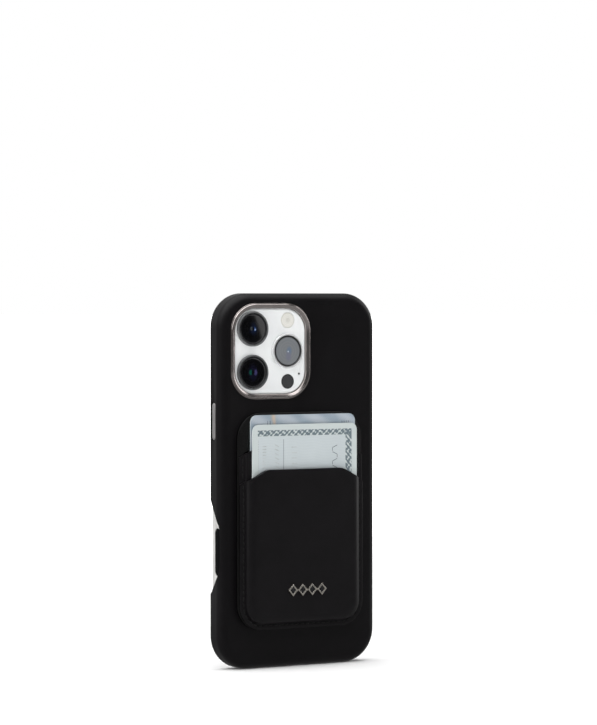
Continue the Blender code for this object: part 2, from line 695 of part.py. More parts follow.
def build_wallet():
    leather = material("wallet leather", (0.011, 0.010, 0.011), 0.42)
    board = material("stiffener board", (0.03, 0.03, 0.03), 0.8)
    steel = material("wallet magnets", (0.55, 0.55, 0.56), 0.35, 1.0)
    lining = material("wallet lining", (0.012, 0.011, 0.012), 0.6)
    thread = material("thread", (0.006, 0.006, 0.007), 0.6)
    gunmetal = material("emblem metal", (0.42, 0.38, 0.34), 0.25, 1.0)
    enamel = material("emblem inlay", (0.008, 0.008, 0.009), 0.2)

    plate("wallet_back", WALLET, -WALLET_BACK[0], -WALLET_BACK[1], 0.12, leather)
    core = plate("wallet_core", WALLET, -WALLET_CORE[0], -WALLET_CORE[1], 0.1, board,
                 inset=0.2)
    cut(core, *magnet_cutters("wallet_magnet", -WALLET_CORE[0] + 0.5, -WALLET_GROOVE))
    magnet_array("wallet_magnets", -WALLET_MAGNETS[0], -WALLET_MAGNETS[1], steel)
    prism("wallet_align_magnet", bar_outline(),
          along_depth(-WALLET_MAGNETS[0], -WALLET_MAGNETS[1]), steel)
    turned("shield_plate", (0.0, MAGNET_Z),
           [(MAGNET_INNER, -SHIELD[0]), (MAGNET_OUTER, -SHIELD[0]),
            (MAGNET_OUTER, -SHIELD[1]), (MAGNET_INNER, -SHIELD[1])],
           steel, ring=True, count=48)
    plate("wallet_lining", WALLET, -WALLET_LINING[0], -WALLET_LINING[1], 0.05, lining,
          inset=0.15)

    low, high = DIVIDER_FLANGE
    under, top = DIVIDER_RAISED
    divider = loft("wallet_divider", WALLET,
                   up([(3.7, top), (3.45, top - 0.1), (3.35, high + 0.2), (3.2, high),
                       (0.1, high), (0.0, high - 0.1), (0.0, low + 0.1), (0.1, low),
                       (3.8, low), (3.8, under - 0.1), (4.0, under)]), leather)
    cut(divider, mouth_cutter("divider_mouth", DIVIDER_TOP))

    low, high = FRONT_FLANGE
    under, top = FRONT_RAISED
    front = loft("wallet_front", WALLET,
                 up([(6.8, top, 6.1), (5.6, top - 0.12, 6.7), (4.6, top - 0.5, 7.2),
                     (3.6, top - 1.1, 7.75), (2.85, top - 1.9, 8.2), (2.75, high + 0.3, 8.3),
                     (2.7, high, 8.35), (0.15, high), (0.0, high - 0.15), (0.0, low + 0.1),
                     (0.1, low), (3.2, low, 7.2), (3.2, under - 0.3, 7.2),
                     (3.6, under, 6.8)]), leather)
    cut(front, mouth_cutter("front_mouth", FRONT_TOP))

    edge_drop = mouth_drop(WALLET_HALF_WIDTH - STITCH_INSET)
    seam("front_seam", FRONT_TOP - edge_drop - SEAM_END, None, FRONT_FLANGE[1] + 0.03, thread)
    for name, mirrored in (("divider_seam_left", False), ("divider_seam_right", True)):
        seam(name, DIVIDER_TOP - edge_drop - SEAM_END, DIVIDER_TOP - FRONT_TOP - 2 * SEAM_END,
             DIVIDER_FLANGE[1] + 0.03, thread, mirrored)
    build_badge(gunmetal, enamel)


def build_cards():
    for name, (x, top, low, high), colour in (
            ("card_front", CARD_FRONT, (0.62, 0.66, 0.67)),
            ("card_back", CARD_BACK, (0.42, 0.48, 0.53))):
        base = (*CARD_HALF, CARD_CORNER, x, top - CARD_HALF[1])
        plate(name, base, -low, -high, 0.08, material(name + " plastic", colour, 0.35))


def carry(name, place, nodes):
    """Put the pieces of one moving body under an empty on its slide axis."""
    holder = bpy.data.objects.new(name, None)
    holder.location = place
    bpy.context.collection.objects.link(holder)
    for node in nodes:
        piece = bpy.data.objects[node]
        piece.parent = holder
        piece.location = piece.location - place


def main():
    for obj in list(bpy.data.objects):
        bpy.data.objects.remove(obj, do_unlink=True)
    build_case()
    metal = material("button metal", (0.42, 0.41, 0.41), 0.32, 1.0)
    plastic = material("button foot", (0.03, 0.03, 0.03), 0.6)
    for name in BUTTONS:
        build_button(name, metal, plastic)
    build_phone()
    build_wallet()
    build_cards()

    lenses = ["lens_%s_%d" % (kind, number) for kind in ("ring", "glass")
              for number in range(1, len(LENS_PLACES) + 1)]
    keys = [name + "_key" for name in BUTTONS] + ["camera_control"]
    carry("phone_slide", spot(0, PHONE_BACK, CASE_HEIGHT / 2),
          ["phone_band", "phone_core", "phone_back_glass", "phone_display", "charge_port",
           "camera_plateau", "flash_lens", "depth_sensor", "rear_microphone"] + lenses + keys)
    carry("wallet_pull", spot(WALLET_X, 0, MAGNET_Z),
          ["wallet_back", "wallet_core", "wallet_magnets", "wallet_align_magnet",
           "shield_plate", "wallet_lining", "wallet_divider", "wallet_front",
           "front_seam", "divider_seam_left", "divider_seam_right", "badge_rail"]
          + ["badge_inlay_%d" % (index + 1) for index in range(STUD_COUNT)])
    carry("card_front_slide", spot(CARD_FRONT[0], -CARD_FRONT[2], CARD_FRONT[1]),
          ["card_front"])
    carry("card_back_slide", spot(CARD_BACK[0], -CARD_BACK[2], CARD_BACK[1]), ["card_back"])


main()
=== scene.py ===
# Looks of a leather phone case with a magnetic card wallet, two cards and a phone in it.
import bpy
import bmesh
import math
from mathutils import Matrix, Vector


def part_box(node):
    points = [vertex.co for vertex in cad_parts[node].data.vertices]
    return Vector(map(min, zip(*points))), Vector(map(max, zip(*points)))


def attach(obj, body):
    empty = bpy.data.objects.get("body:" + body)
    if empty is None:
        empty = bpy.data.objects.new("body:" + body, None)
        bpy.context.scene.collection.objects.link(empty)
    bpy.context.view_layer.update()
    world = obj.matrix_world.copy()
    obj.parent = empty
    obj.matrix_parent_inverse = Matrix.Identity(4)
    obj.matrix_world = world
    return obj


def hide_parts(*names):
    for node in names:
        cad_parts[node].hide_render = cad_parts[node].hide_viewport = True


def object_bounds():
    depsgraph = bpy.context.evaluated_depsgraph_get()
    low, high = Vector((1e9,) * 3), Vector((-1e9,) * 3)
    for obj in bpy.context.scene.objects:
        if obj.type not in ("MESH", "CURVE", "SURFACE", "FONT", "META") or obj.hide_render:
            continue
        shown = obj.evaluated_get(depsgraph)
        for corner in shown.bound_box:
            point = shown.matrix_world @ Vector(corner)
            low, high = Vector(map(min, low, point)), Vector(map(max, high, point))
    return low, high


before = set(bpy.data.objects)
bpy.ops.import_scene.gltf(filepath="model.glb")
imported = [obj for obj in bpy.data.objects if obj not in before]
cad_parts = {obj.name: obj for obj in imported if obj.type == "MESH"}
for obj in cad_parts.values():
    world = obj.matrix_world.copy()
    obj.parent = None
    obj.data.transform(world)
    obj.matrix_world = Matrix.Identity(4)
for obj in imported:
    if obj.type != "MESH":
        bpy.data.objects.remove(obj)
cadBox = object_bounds()

mm = 0.001
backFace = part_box("case_leather")[0].y   # the case's back; depths in mm run from here into the case


def spot(x, depth, z):
    return Vector((x * mm, backFace + depth * mm, z * mm))


def reach(node):
    # middle, half sizes and depths of a node, in mm
    low, high = [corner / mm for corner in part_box(node)]
    return {"x": (low.x + high.x) / 2, "z": (low.z + high.z) / 2,
            "halfX": (high.x - low.x) / 2, "halfZ": (high.z - low.z) / 2,
            "near": low.y - backFace / mm, "far": high.y - backFace / mm,
            "left": low.x, "right": high.x, "bottom": low.z, "top": high.z}


# camera and studio

cameraView = {
    "place": (-0.70931, -1.18423, 0.16341),
    "heading": -30.935,
    "down": 1.17,
    "lens": 154.04,
}
studio = {
    "white": 1.0,
    "room": 0.06,
    "backdrop": 0.7,
    "floor": 30.0,
    "mirroredNear": 0.3,
    "mirroredFar": 0.03,
    "suns": (
        # azimuth, elevation, softness, strength, casts a shadow
        (-40, 80, 80, 3.0, True),
        (-90, 35, 56, 1.05, False),
        (88, 18, 45, 0.8, False),
    ),
    # a small light panel in front of the back; its slanting left edge runs over the lenses
    "panel": {"edge": (0.5675, -1.0, 0.1198), "size": (0.11, 0.26), "lean": 20.5, "brightness": 1.2},
}

lens = bpy.data.cameras.new("camera")
lens.lens = cameraView["lens"]
lens.sensor_width = 36.0
camera = bpy.data.objects.new("camera", lens)
camera.location = cameraView["place"]
camera.rotation_euler = (math.radians(90 - cameraView["down"]), 0, math.radians(cameraView["heading"]))
bpy.context.collection.objects.link(camera)
bpy.context.scene.camera = camera
bpy.context.scene.view_settings.view_transform = "Standard"


# one socket with the arithmetic of the shader editor

class Wire:
    def __init__(self, tree, socket=None):
        self.tree = tree
        self.socket = socket

    def node(self, kind, settings=None, sockets=None, out=0):
        made = self.tree.nodes.new(kind)
        for name, value in (settings or {}).items():
            setattr(made, name, value)
        for name, value in (sockets or {}).items():
            if isinstance(value, Wire):
                self.tree.links.new(value.socket, made.inputs[name])
            else:
                made.inputs[name].default_value = value
        return Wire(self.tree, made.outputs[out])

    def sum(self, operation, first, second=0.0):
        return self.node("ShaderNodeMath", {"operation": operation}, {0: first, 1: second})

    def __add__(self, other):
        return self.sum("ADD", self, other)

    def __radd__(self, other):
        return self.sum("ADD", other, self)

    def __sub__(self, other):
        return self.sum("SUBTRACT", self, other)

    def __rsub__(self, other):
        return self.sum("SUBTRACT", other, self)

    def __mul__(self, other):
        return self.sum("MULTIPLY", self, other)

    def __rmul__(self, other):
        return self.sum("MULTIPLY", other, self)

    def __truediv__(self, other):
        return self.sum("DIVIDE", self, other)

    def __abs__(self):
        return self.sum("ABSOLUTE", self)

    def __lt__(self, other):
        return self.sum("LESS_THAN", self, other)

    def __gt__(self, other):
        return self.sum("GREATER_THAN", self, other)

    def root(self):
        return self.sum("SQRT", self)

    def wave(self):
        return self.sum("SINE", self)

    def most(self, other):
        return self.sum("MAXIMUM", self, other)

    def ease(self, low, high):
        return self.node("ShaderNodeMapRange", {"interpolation_type": "SMOOTHSTEP"},
                         {"Value": self, "From Min": low, "From Max": high})

    def blend(self, first, second):
        # first colour where this is 0, second where it is 1
        both = [(*colour, 1.0) if isinstance(colour, tuple) else colour for colour in (first, second)]
        return self.node("ShaderNodeMix", {"data_type": "RGBA"}, {0: self, 6: both[0], 7: both[1]}, out=2)


class Look:
    # a Principled material with its fixed values, ready for what changes over the surface
    def __init__(self, name, fixed):
        self.material = bpy.data.materials.new(name)
        self.material.use_nodes = True
        self.tree = self.material.node_tree
        self.shader = self.tree.nodes["Principled BSDF"]
        for socket, value in fixed.items():
            self.shader.inputs[socket].default_value = value
        self.start = Wire(self.tree)
        self.place = self.start.node("ShaderNodeTexCoord", out=3)

    def feed(self, **wires):
        names = {"colour": "Base Color", "roughness": "Roughness", "metallic": "Metallic",
                 "normal": "Normal"}
        for name, wire in wires.items():
            self.tree.links.new(wire.socket, self.shader.inputs[names[name]])
        return self.material

    def axes(self, names="XYZ"):
        # the named axes in mm, with the depth for Y
        split = self.start.node("ShaderNodeSeparateXYZ", {}, {"Vector": self.place})
        outputs = split.socket.node.outputs
        wires = {name: Wire(self.tree, outputs[name]) / mm for name in names}
        if "Y" in wires:
            wires["Y"] = wires["Y"] - backFace / mm
        return list(wires.values())

    def polar(self, centre, radius):
        # offsets from a centre in mm, and the distance from it in radii
        x, z = self.axes("XZ")
        across, above = x - centre[0], z - centre[1]
        return across, above, (across * across + above * above).root() / radius

    def beyond(self, base, inset):
        # distance in mm outside a rounded rectangle that lies an inset within an outline
        x, z = self.axes("XZ")
        radius = base["corner"] - inset
        overX = (abs(x - base["x"]) - (base["halfX"] - base["corner"])).most(0.0)
        overZ = (abs(z - base["z"]) - (base["halfZ"] - base["corner"])).most(0.0)
        return (overX * overX + overZ * overZ).root() - radius

    def stretched(self, scale):
        return self.start.node("ShaderNodeVectorMath", {"operation": "MULTIPLY"},
                               {0: self.place, 1: scale})

    def noise(self, scale, detail=2.0, place=None, roughness=0.5):
        return self.start.node("ShaderNodeTexNoise", {},
                               {"Vector": place or self.place, "Scale": scale, "Detail": detail,
                                "Roughness": roughness})

    def cells(self, scale):
        return self.start.node("ShaderNodeTexVoronoi", {"feature": "F1"},
                               {"Vector": self.place, "Scale": scale})

    def bump(self, height, strength, distance):
        return self.start.node("ShaderNodeBump", {},
                               {"Height": height, "Strength": strength, "Distance": distance * mm})


# finishes

def shade(tone, share):
    return tuple(min(value * share, 1.0) for value in tone)


def leatherLook(name, tone, roughness, grain, depth, specular, shadedCutEdge=None):
    # shadedCutEdge is the outline along which the leather's cut edge is painted black: a burnished edge,
    # darkened further as painted shade of the wallet's side walls
    look = Look(name, {"Specular IOR Level": specular})
    pebbles = look.cells(grain)
    creases = look.noise(grain * 0.32, 4.0)
    patches = look.noise(90.0, 3.0)
    height = pebbles * 0.6 + creases * 0.9
    colour = (patches * 0.7 + pebbles * 0.5).ease(0.25, 1.0).blend(shade(tone, 0.8), shade(tone, 1.25))
    gloss = roughness - 0.05 + patches * 0.1
    if shadedCutEdge:
        # the black edge is partly a burnished edge and partly painted shade
        burnishedEdgeShade = look.beyond(shadedCutEdge, 0.12).ease(-0.06, 0.06)
        colour = burnishedEdgeShade.blend(colour, (0.001, 0.001, 0.001))
        gloss = gloss - burnishedEdgeShade * (roughness - 0.16)
    return look.feed(colour=colour, roughness=gloss, normal=look.bump(height, 0.35, depth))


def metalLook(name, tone, roughness, streak, depth=0.004, metallic=1.0):
    # brushed along the direction in which the scale of streak is small
    look = Look(name, {"Metallic": metallic})
    lines = look.noise(1.0, 3.0, look.stretched(streak))
    clouds = look.noise(160.0, 2.0)
    colour = (lines * 0.6 + clouds * 0.4).ease(0.3, 0.7).blend(shade(tone, 0.92), shade(tone, 1.08))
    return look.feed(colour=colour, roughness=roughness - 0.05 + lines * 0.1,
                     normal=look.bump(lines, 0.3, depth))


def mouldedLook(name, tone, roughness, texture=1800.0, depth=0.01, specular=0.5):
    look = Look(name, {"Specular IOR Level": specular})
    fine = look.noise(texture, 3.0)
    patches = look.noise(70.0, 2.0)
    colour = patches.ease(0.3, 0.7).blend(shade(tone, 0.85), shade(tone, 1.15))
    return look.feed(colour=colour, roughness=roughness - 0.04 + fine * 0.08,
                     normal=look.bump(fine, 0.3, depth))


def suedeLook(name, tone):
    # brushed microfibre: short fibres that lie in soft patches
    look = Look(name, {"Specular IOR Level": 0.2, "Sheen Weight": 0.4, "Sheen Roughness": 0.4})
    fibres = look.noise(5200.0, 2.0, roughness=0.7)
    patches = look.noise(240.0, 3.0)
    colour = (fibres * 0.5 + patches * 0.5).ease(0.3, 0.7).blend(shade(tone, 0.6), shade(tone, 1.3))
    return look.feed(colour=colour, roughness=0.86 + patches * 0.1,
                     normal=look.bump(fibres, 0.6, 0.05))


def boardLook(name, tone):
    # pressed fibre board
    look = Look(name, {"Specular IOR Level": 0.2})
    fibres = look.noise(1.0, 4.0, look.stretched((2600.0, 2600.0, 700.0)))
    specks = look.cells(1400.0)
    colour = (fibres * 0.7 + specks * 0.3).ease(0.25, 0.75).blend(shade(tone, 0.7), shade(tone, 1.3))
    return look.feed(colour=colour, roughness=0.8 + fibres * 0.1, normal=look.bump(fibres, 0.5, 0.04))


def threadLook(name, tone):
    # waxed thread with the twist of its strands
    look = Look(name, {"Specular IOR Level": 0.35})
    x, depth, z = look.axes()
    twist = ((x + z * 1.3 + depth) * 17.0).wave()
    fuzz = look.noise(4200.0, 2.0)
    colour = (twist * 0.25 + fuzz * 0.6).ease(0.0, 0.8).blend(shade(tone, 0.6), shade(tone, 1.5))
    return look.feed(colour=colour, roughness=0.5 + fuzz * 0.2,
                     normal=look.bump(twist * 0.5 + fuzz * 0.5, 0.5, 0.05))


def glossGlassLook(name, tone, shade, roughness=0.1):
    look = Look(name, {"Specular IOR Level": 0.5, "Coat Weight": 0.4, "Coat Roughness": 0.03})
    clouds = look.noise(55.0, 2.0)
    smears = look.noise(320.0, 3.0)
    return look.feed(colour=clouds.ease(0.3, 0.7).blend(shade, tone),
                     roughness=roughness - 0.02 + smears * 0.05)


# mesh building

def outline(base, corner, inset, steps):
    # rounded rectangle, with a point on each straight next to every arc so that flats stay flat
    lead = 1.0   # from the end of an arc to that point, in mm
    halfX, halfZ = base["halfX"] - inset, base["halfZ"] - inset
    points = []
    for quarter in range(4):
        signX = 1 if quarter in (0, 3) else -1
        signZ = 1 if quarter in (0, 1) else -1
        centre = (base["x"] + signX * (halfX - corner), base["z"] + signZ * (halfZ - corner))
        for step in range(-1, steps + 2):
            angle = math.radians(90 * (quarter + min(max(step, 0), steps) / steps))
            along = -lead if step < 0 else lead if step > steps else 0.0
            points.append((centre[0] + corner * math.cos(angle) - along * math.sin(angle),
                           centre[1] + corner * math.sin(angle) + along * math.cos(angle)))
    return points


def fillet(inset, depth, radius, start, end, steps):
    return [(inset + radius * math.cos(math.radians(start + (end - start) * step / steps)),
             depth + radius * math.sin(math.radians(start + (end - start) * step / steps)))
            for step in range(steps + 1)]


def skin(build, loops, ring=False):
    pairs = list(zip(loops, loops[1:]))
    if ring:
        pairs.append((loops[-1], loops[0]))
    else:
        build.faces.new(loops[0])
        build.faces.new(loops[-1])
    for first, second in pairs:
        count = len(first)
        for index in range(count):
            after = (index + 1) % count
            build.faces.new((first[index], first[after], second[after], second[index]))


def loft(name, base, profile, ring=False, steps=14):
    build = bmesh.new()
    loops = []
    for inset, depth, *corner in profile:
        radius = corner[0] if corner else max(base["corner"] - inset, 0.2)
        loops.append([build.verts.new(spot(x, depth, z))
                      for x, z in outline(base, radius, inset, steps)])
    skin(build, loops, ring)
    return fresh(name, build)


def stadium(centre, length, width, steps=10):
    # slot outline round a centre, its length along the second coordinate
    radius, straight = width / 2, (length - width) / 2
    return [(centre[0] + radius * math.cos(math.radians(180 * step / steps + turn)),
             centre[1] + (straight if turn == 0 else -straight)
             + radius * math.sin(math.radians(180 * step / steps + turn)))
            for turn in (0, 180) for step in range(steps + 1)]


def circle(centre, radius, count=48):
    return [(centre[0] + radius * math.cos(2 * math.pi * step / count),
             centre[1] + radius * math.sin(2 * math.pi * step / count)) for step in range(count)]


def turned(name, centre, profile, ring=False, count=64):
    # round piece with its axis across the depth
    build = bmesh.new()
    loops = [[build.verts.new(spot(x, depth, z)) for x, z in circle(centre, radius, count)]
             for radius, depth in profile]
    skin(build, loops, ring)
    return fresh(name, build)


def prism(name, points, place):
    # place(point, end) gives the spot of each corner, end is 0 or 1
    build = bmesh.new()
    skin(build, [[build.verts.new(place(point, end)) for point in points] for end in (0, 1)])
    return fresh(name, build)


def fresh(name, build):
    bmesh.ops.recalc_face_normals(build, faces=build.faces)
    data = bpy.data.meshes.new(name)
    build.to_mesh(data)
    build.free()
    piece = bpy.data.objects.new(name, data)
    bpy.context.collection.objects.link(piece)
    return piece


def carve(piece, tools, soften=0.0, operation="DIFFERENCE", segments=3):
    for tool in tools:
        step = piece.modifiers.new("carve", "BOOLEAN")
        step.operation = operation
        step.object = tool
    if soften:
        bevel = piece.modifiers.new("soften", "BEVEL")
        bevel.width = soften * mm
        bevel.segments = segments
        bevel.limit_method = "ANGLE"
        bevel.angle_limit = math.radians(42)
    bpy.context.view_layer.update()
    graph = bpy.context.evaluated_depsgraph_get()
    done = bpy.data.meshes.new_from_object(piece.evaluated_get(graph), depsgraph=graph)
    piece.modifiers.clear()
    piece.data = done
    for tool in tools:
        bpy.data.objects.remove(tool, do_unlink=True)
    return piece


def settle(piece, look, body, slotName, *stands, sharp=35):
    piece.data.shade_smooth()
    piece.data.set_sharp_from_angle(angle=math.radians(sharp))
    piece.data.materials.clear()
    piece.data.materials.append(look)
    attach(piece, body)
    if stands:
        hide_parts(*stands)
    return piece


def dress(look, *nodes):
    for node in nodes:
        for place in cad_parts[node].material_slots:
            place.material = look


def acrossX(fromX, toX):
    return lambda point, end: spot((fromX, toX)[end], point[0], point[1])


def acrossDepth(fromDepth, toDepth):
    return lambda point, end: spot(point[0], (fromDepth, toDepth)[end], point[1])


def upwards(fromZ, toZ):
    return lambda point, end: spot(point[0], point[1], (fromZ, toZ)[end])


def rounded(points, rounds=2):
    # cuts the corners of a closed outline, again and again
    for turn in range(rounds):
        points = [(a[0] * share + b[0] * (1 - share), a[1] * share + b[1] * (1 - share))
                  for a, b in zip(points, points[1:] + points[:1]) for share in (0.75, 0.25)]
    return points


# floor, lights and air

def buildStudio():
    floorLook = Look("floor paint", {"Roughness": 0.9, "Specular IOR Level": 0.05,
                                     "Emission Strength": 1.0})
    away = floorLook.start.node("ShaderNodeVectorMath", {"operation": "LENGTH"},
                                {0: floorLook.place}, out=1)
    grain = floorLook.noise(30.0, 3.0)
    glow = (away + grain * 0.02).ease(0.35, 1.1).blend((0.0, 0.0, 0.0), (1.0, 1.0, 1.0))
    floorLook.tree.links.new(glow.socket, floorLook.shader.inputs["Emission Color"])
    floorLook.feed(colour=grain.blend((0.93, 0.93, 0.93), (0.96, 0.96, 0.96)))
    # mirrored in the object, the floor is as dim as the studio round it
    mirrored = floorLook.start.node("ShaderNodeLightPath", out=3)
    dimness = studio["mirroredNear"] - away.ease(0.6, 4.0) * (studio["mirroredNear"] - studio["mirroredFar"])
    dim = floorLook.start.node("ShaderNodeEmission", {}, {"Strength": dimness})
    both = floorLook.start.node("ShaderNodeMixShader", {},
                                {0: mirrored, 1: Wire(floorLook.tree, floorLook.shader.outputs[0]), 2: dim})
    floorLook.tree.links.new(both.socket, floorLook.tree.nodes["Material Output"].inputs["Surface"])
    build = bmesh.new()
    bmesh.ops.create_circle(build, cap_ends=True, segments=96, radius=studio["floor"])
    bmesh.ops.translate(build, verts=build.verts, vec=(0, 0, cadBox[0].z))
    floor = fresh("floor", build)
    floor.data.materials.append(floorLook.material)

    for azimuth, elevation, softness, strength, shadow in studio["suns"]:
        sun = bpy.data.lights.new("soft light", "SUN")
        sun.energy = strength
        sun.angle = math.radians(softness)
        sun.use_shadow = shadow
        holder = bpy.data.objects.new("soft light", sun)
        turn, rise = math.radians(azimuth), math.radians(elevation)
        towards = Vector((math.sin(turn) * math.cos(rise), -math.cos(turn) * math.cos(rise), math.sin(rise)))
        holder.rotation_mode = "QUATERNION"
        holder.rotation_quaternion = towards.to_track_quat("Z", "Y")
        bpy.context.collection.objects.link(holder)

    panel = studio["panel"]
    wide, high = panel["size"]
    light = bpy.data.lights.new("light panel", "AREA")
    light.shape = "RECTANGLE"
    light.size, light.size_y = wide, high
    light.energy = panel["brightness"] * math.pi * wide * high
    lean = math.radians(panel["lean"])
    holder = bpy.data.objects.new("light panel", light)
    holder.location = Vector(panel["edge"]) + Vector((math.cos(lean), 0, math.sin(lean))) * wide / 2
    holder.rotation_euler = Vector((0, -1, 0)).to_track_quat("Z", "Y").to_euler()
    holder.rotation_euler.rotate_axis("Z", lean)
    holder.visible_camera = False
    bpy.context.collection.objects.link(holder)

    world = bpy.data.worlds.new("studio")
    bpy.context.scene.world = world
    world.use_nodes = True
    tree = world.node_tree
    air = Wire(tree)
    direction = air.node("ShaderNodeTexCoord", out=0)
    split = air.node("ShaderNodeSeparateXYZ", {}, {"Vector": direction})
    ahead = Wire(tree, split.socket.node.outputs["Y"])
    seen = air.node("ShaderNodeLightPath", out=0)
    behind = ahead.ease(0.1, 0.95)
    room = studio["room"] + behind * (studio["backdrop"] - studio["room"])
    strength = seen.most(seen * studio["white"] + (1 - seen) * room)
    tree.links.new(strength.socket, tree.nodes["Background"].inputs["Strength"])
    tree.nodes["Background"].inputs["Color"].default_value = (1.0, 1.0, 1.0, 1.0)


buildStudio()
print("studio ready")


# the case: leather over a moulded shell

case = {"corner": 15.0, "backRound": 4.0, "frontRound": 2.2, "skin": 0.55,
        "lipAngle": 118, "lipInset": 1.3, "softEdge": 0.18, "wall": 1.5,
        "tone": (0.0032, 0.0025, 0.0034), "roughness": 0.44, "grain": 2600.0, "grainDepth": 0.035,
        "specular": 0.22}
caseLeather = leatherLook("case leather", case["tone"], case["roughness"], case["grain"],
                          case["grainDepth"], case["specular"])
notch = {"back": 2.0, "low": 42.6, "high": 62.8, "turn": 2.2, "upSlope": 1.66, "downSlope": 1.4}
portHoles = {"depth": 6.0, "width": 13.0, "height": 6.4, "sound": 0.95, "pitch": 2.8,
             "first": 10.5, "count": 4}
cameraRing = {"corner": 12.4, "width": 2.25, "proud": 0.95, "tone": (0.52, 0.475, 0.46),
              "roughness": 0.2}

caseBase = {**reach("case_leather"), "corner": case["corner"]}
caseThick = caseBase["far"] + case["frontRound"] * (1 - math.sin(math.radians(case["lipAngle"])))
ringBase = {**reach("camera_ring"), "corner": cameraRing["corner"]}
buttonNames = ("side", "action", "volume_up", "volume_down")


def notchTool():
    back, reachOut = notch["back"], caseThick + 2
    points = [(reachOut, notch["high"] + notch["upSlope"] * (reachOut - back)),
              (back + 1.2, notch["high"] + 2.0), (back + 0.3, notch["high"] + 0.3),
              (back, notch["high"] - notch["turn"]), (back, notch["low"] + 2 * notch["turn"]),
              (back + 0.35, notch["low"] + 1.0), (back + 1.2, notch["low"] - 1.0),
              (reachOut, notch["low"] - 1.0 - notch["downSlope"] * (reachOut - back - 1.2))]
    middle = (notch["low"] + notch["high"]) / 2

    def place(point, end):
        grow = (0.7, -0.15)[end]
        depth, z = point
        inner = depth if depth > caseThick else depth - grow * 0.25
        side = (-caseBase["halfX"] - 1.5, -caseBase["halfX"] + case["wall"] + 0.6)[end]
        return spot(side, inner, z + (grow if z > middle else -grow))

    return prism("notch tool", rounded(points), place)


def slotTool(name, gap):
    cap = reach(name + "_button")
    side = 1 if cap["x"] > 0 else -1
    middle = (cap["near"] + cap["far"]) / 2
    width = cap["far"] - cap["near"]
    return prism("slot tool", stadium((middle, cap["z"]), 2 * cap["halfZ"] + 2 * gap, width + 2 * gap),
                 acrossX(side * (caseBase["halfX"] + 1), side * (caseBase["halfX"] - case["wall"] - 0.6)))


def portTools():
    tools = [prism("port tool", [(x, d) for d, x in
                                 stadium((portHoles["depth"], 0.0), portHoles["width"], portHoles["height"])],
                   upwards(-1.0, case["wall"] + 0.6))]
    for side in (-1, 1):
        for index in range(portHoles["count"]):
            x = side * (portHoles["first"] + portHoles["pitch"] * index)
            tools.append(prism("sound tool", circle((x, portHoles["depth"]), portHoles["sound"], 24),
                               upwards(-1.0, case["wall"] + 0.6)))
    return tools


def buildCase():
    back, front = case["backRound"], caseThick - case["frontRound"]
    far = caseBase["far"]
    profile = ([(back + 0.8, 0.0)] + fillet(back, back, back, 270, 180, 14)
               + [(0.0, back + 0.4), (0.0, front - 0.4)]
               + fillet(case["frontRound"], front, case["frontRound"], 180, case["lipAngle"], 8)
               + [(case["lipInset"] - 0.06, far - 0.04), (case["lipInset"], far - 0.14),
                  (case["lipInset"], far - 0.55)]
               + fillet(case["frontRound"], front, case["frontRound"] - case["skin"], 130, 180, 3)
               + fillet(back, back, back - case["skin"], 180, 270, 8))
    leather = loft("leather_cover", caseBase, profile, steps=18)
    window = loft("window tool", ringBase, [(-0.06, -2.0), (-0.06, 3.0)])
    tools = [window, notchTool(), *portTools(), *[slotTool(name, 0.22) for name in buttonNames]]
    settle(carve(leather, tools, case["softEdge"]), caseLeather, "case", "case_leather", "case_leather")


def buildRing():
    top, width = cameraRing["proud"], cameraRing["width"]
    profile = [(0.0, case["skin"]), (0.0, -0.22), (0.04, -0.32), (0.12, -0.38), (0.22, -0.40),
               (0.26, -0.36), (0.32, -0.36), (0.36, -0.46), (0.42, -0.62), (0.52, -0.77),
               (0.66, -0.87), (0.80, -0.93), (0.92, -top), (1.04, -0.92), (1.20, -0.84),
               (1.60, -0.60), (2.05, -0.37), (2.17, -0.29), (2.23, -0.18), (width, 0.0),
               (width, 1.2), (1.55, 1.25), (1.55, case["skin"])]
    ring = loft("camera_bezel", ringBase, profile, ring=True, steps=20)
    look = metalLook("bezel metal", cameraRing["tone"], cameraRing["roughness"], (900.0, 900.0, 900.0))
    settle(ring, look, "case", "bezel_metal", "camera_ring", sharp=50)


buildCase()
buildRing()
print("case ready")


# buttons of the case and keys of the phone

button = {"tone": (0.40, 0.39, 0.39), "roughness": 0.34, "metallic": 0.75}
buttonMetal = metalLook("button metal", button["tone"], button["roughness"], (2400.0, 2400.0, 120.0),
                        metallic=button["metallic"])
keyMetal = metalLook("key metal", (0.84, 0.83, 0.81), 0.36, (1500.0, 1500.0, 90.0), metallic=0.5)


def stadiumPiece(name, side, node, levels):
    # levels: growth of the outline and distance inwards from the node's outer end
    box = reach(node)
    outer = box["right"] if side > 0 else box["left"]
    middle, width = (box["near"] + box["far"]) / 2, box["far"] - box["near"]
    build = bmesh.new()
    loops = [[build.verts.new(spot(outer - side * inward, depth, z))
              for depth, z in stadium((middle, box["z"]), 2 * (box["halfZ"] + grow), width + 2 * grow, 14)]
             for grow, inward in levels]
    skin(build, loops)
    return fresh(name, build)


def buildButtons():
    for name in buttonNames:
        box = reach(name + "_button")
        side = 1 if box["x"] > 0 else -1
        depth = box["right"] - box["left"]
        cap = stadiumPiece(name + "_cap", side, name + "_button",
                           [(-0.85, 0.0), (-0.62, 0.01), (-0.42, 0.04), (-0.24, 0.1), (-0.1, 0.19),
                            (-0.02, 0.32), (0.0, 0.45), (0.0, depth)])
        settle(cap, buttonMetal, "button_" + name, "button_metal", name + "_button", sharp=60)
        key = stadiumPiece(name + "_phone_key", side, name + "_key",
                           [(-0.5, 0.0), (-0.2, 0.03), (-0.05, 0.1), (0.0, 0.22), (0.0, 0.86)])
        settle(key, keyMetal, "key_" + name, "phone_band", name + "_key", sharp=60)


buildButtons()
print("buttons ready")


# the phone

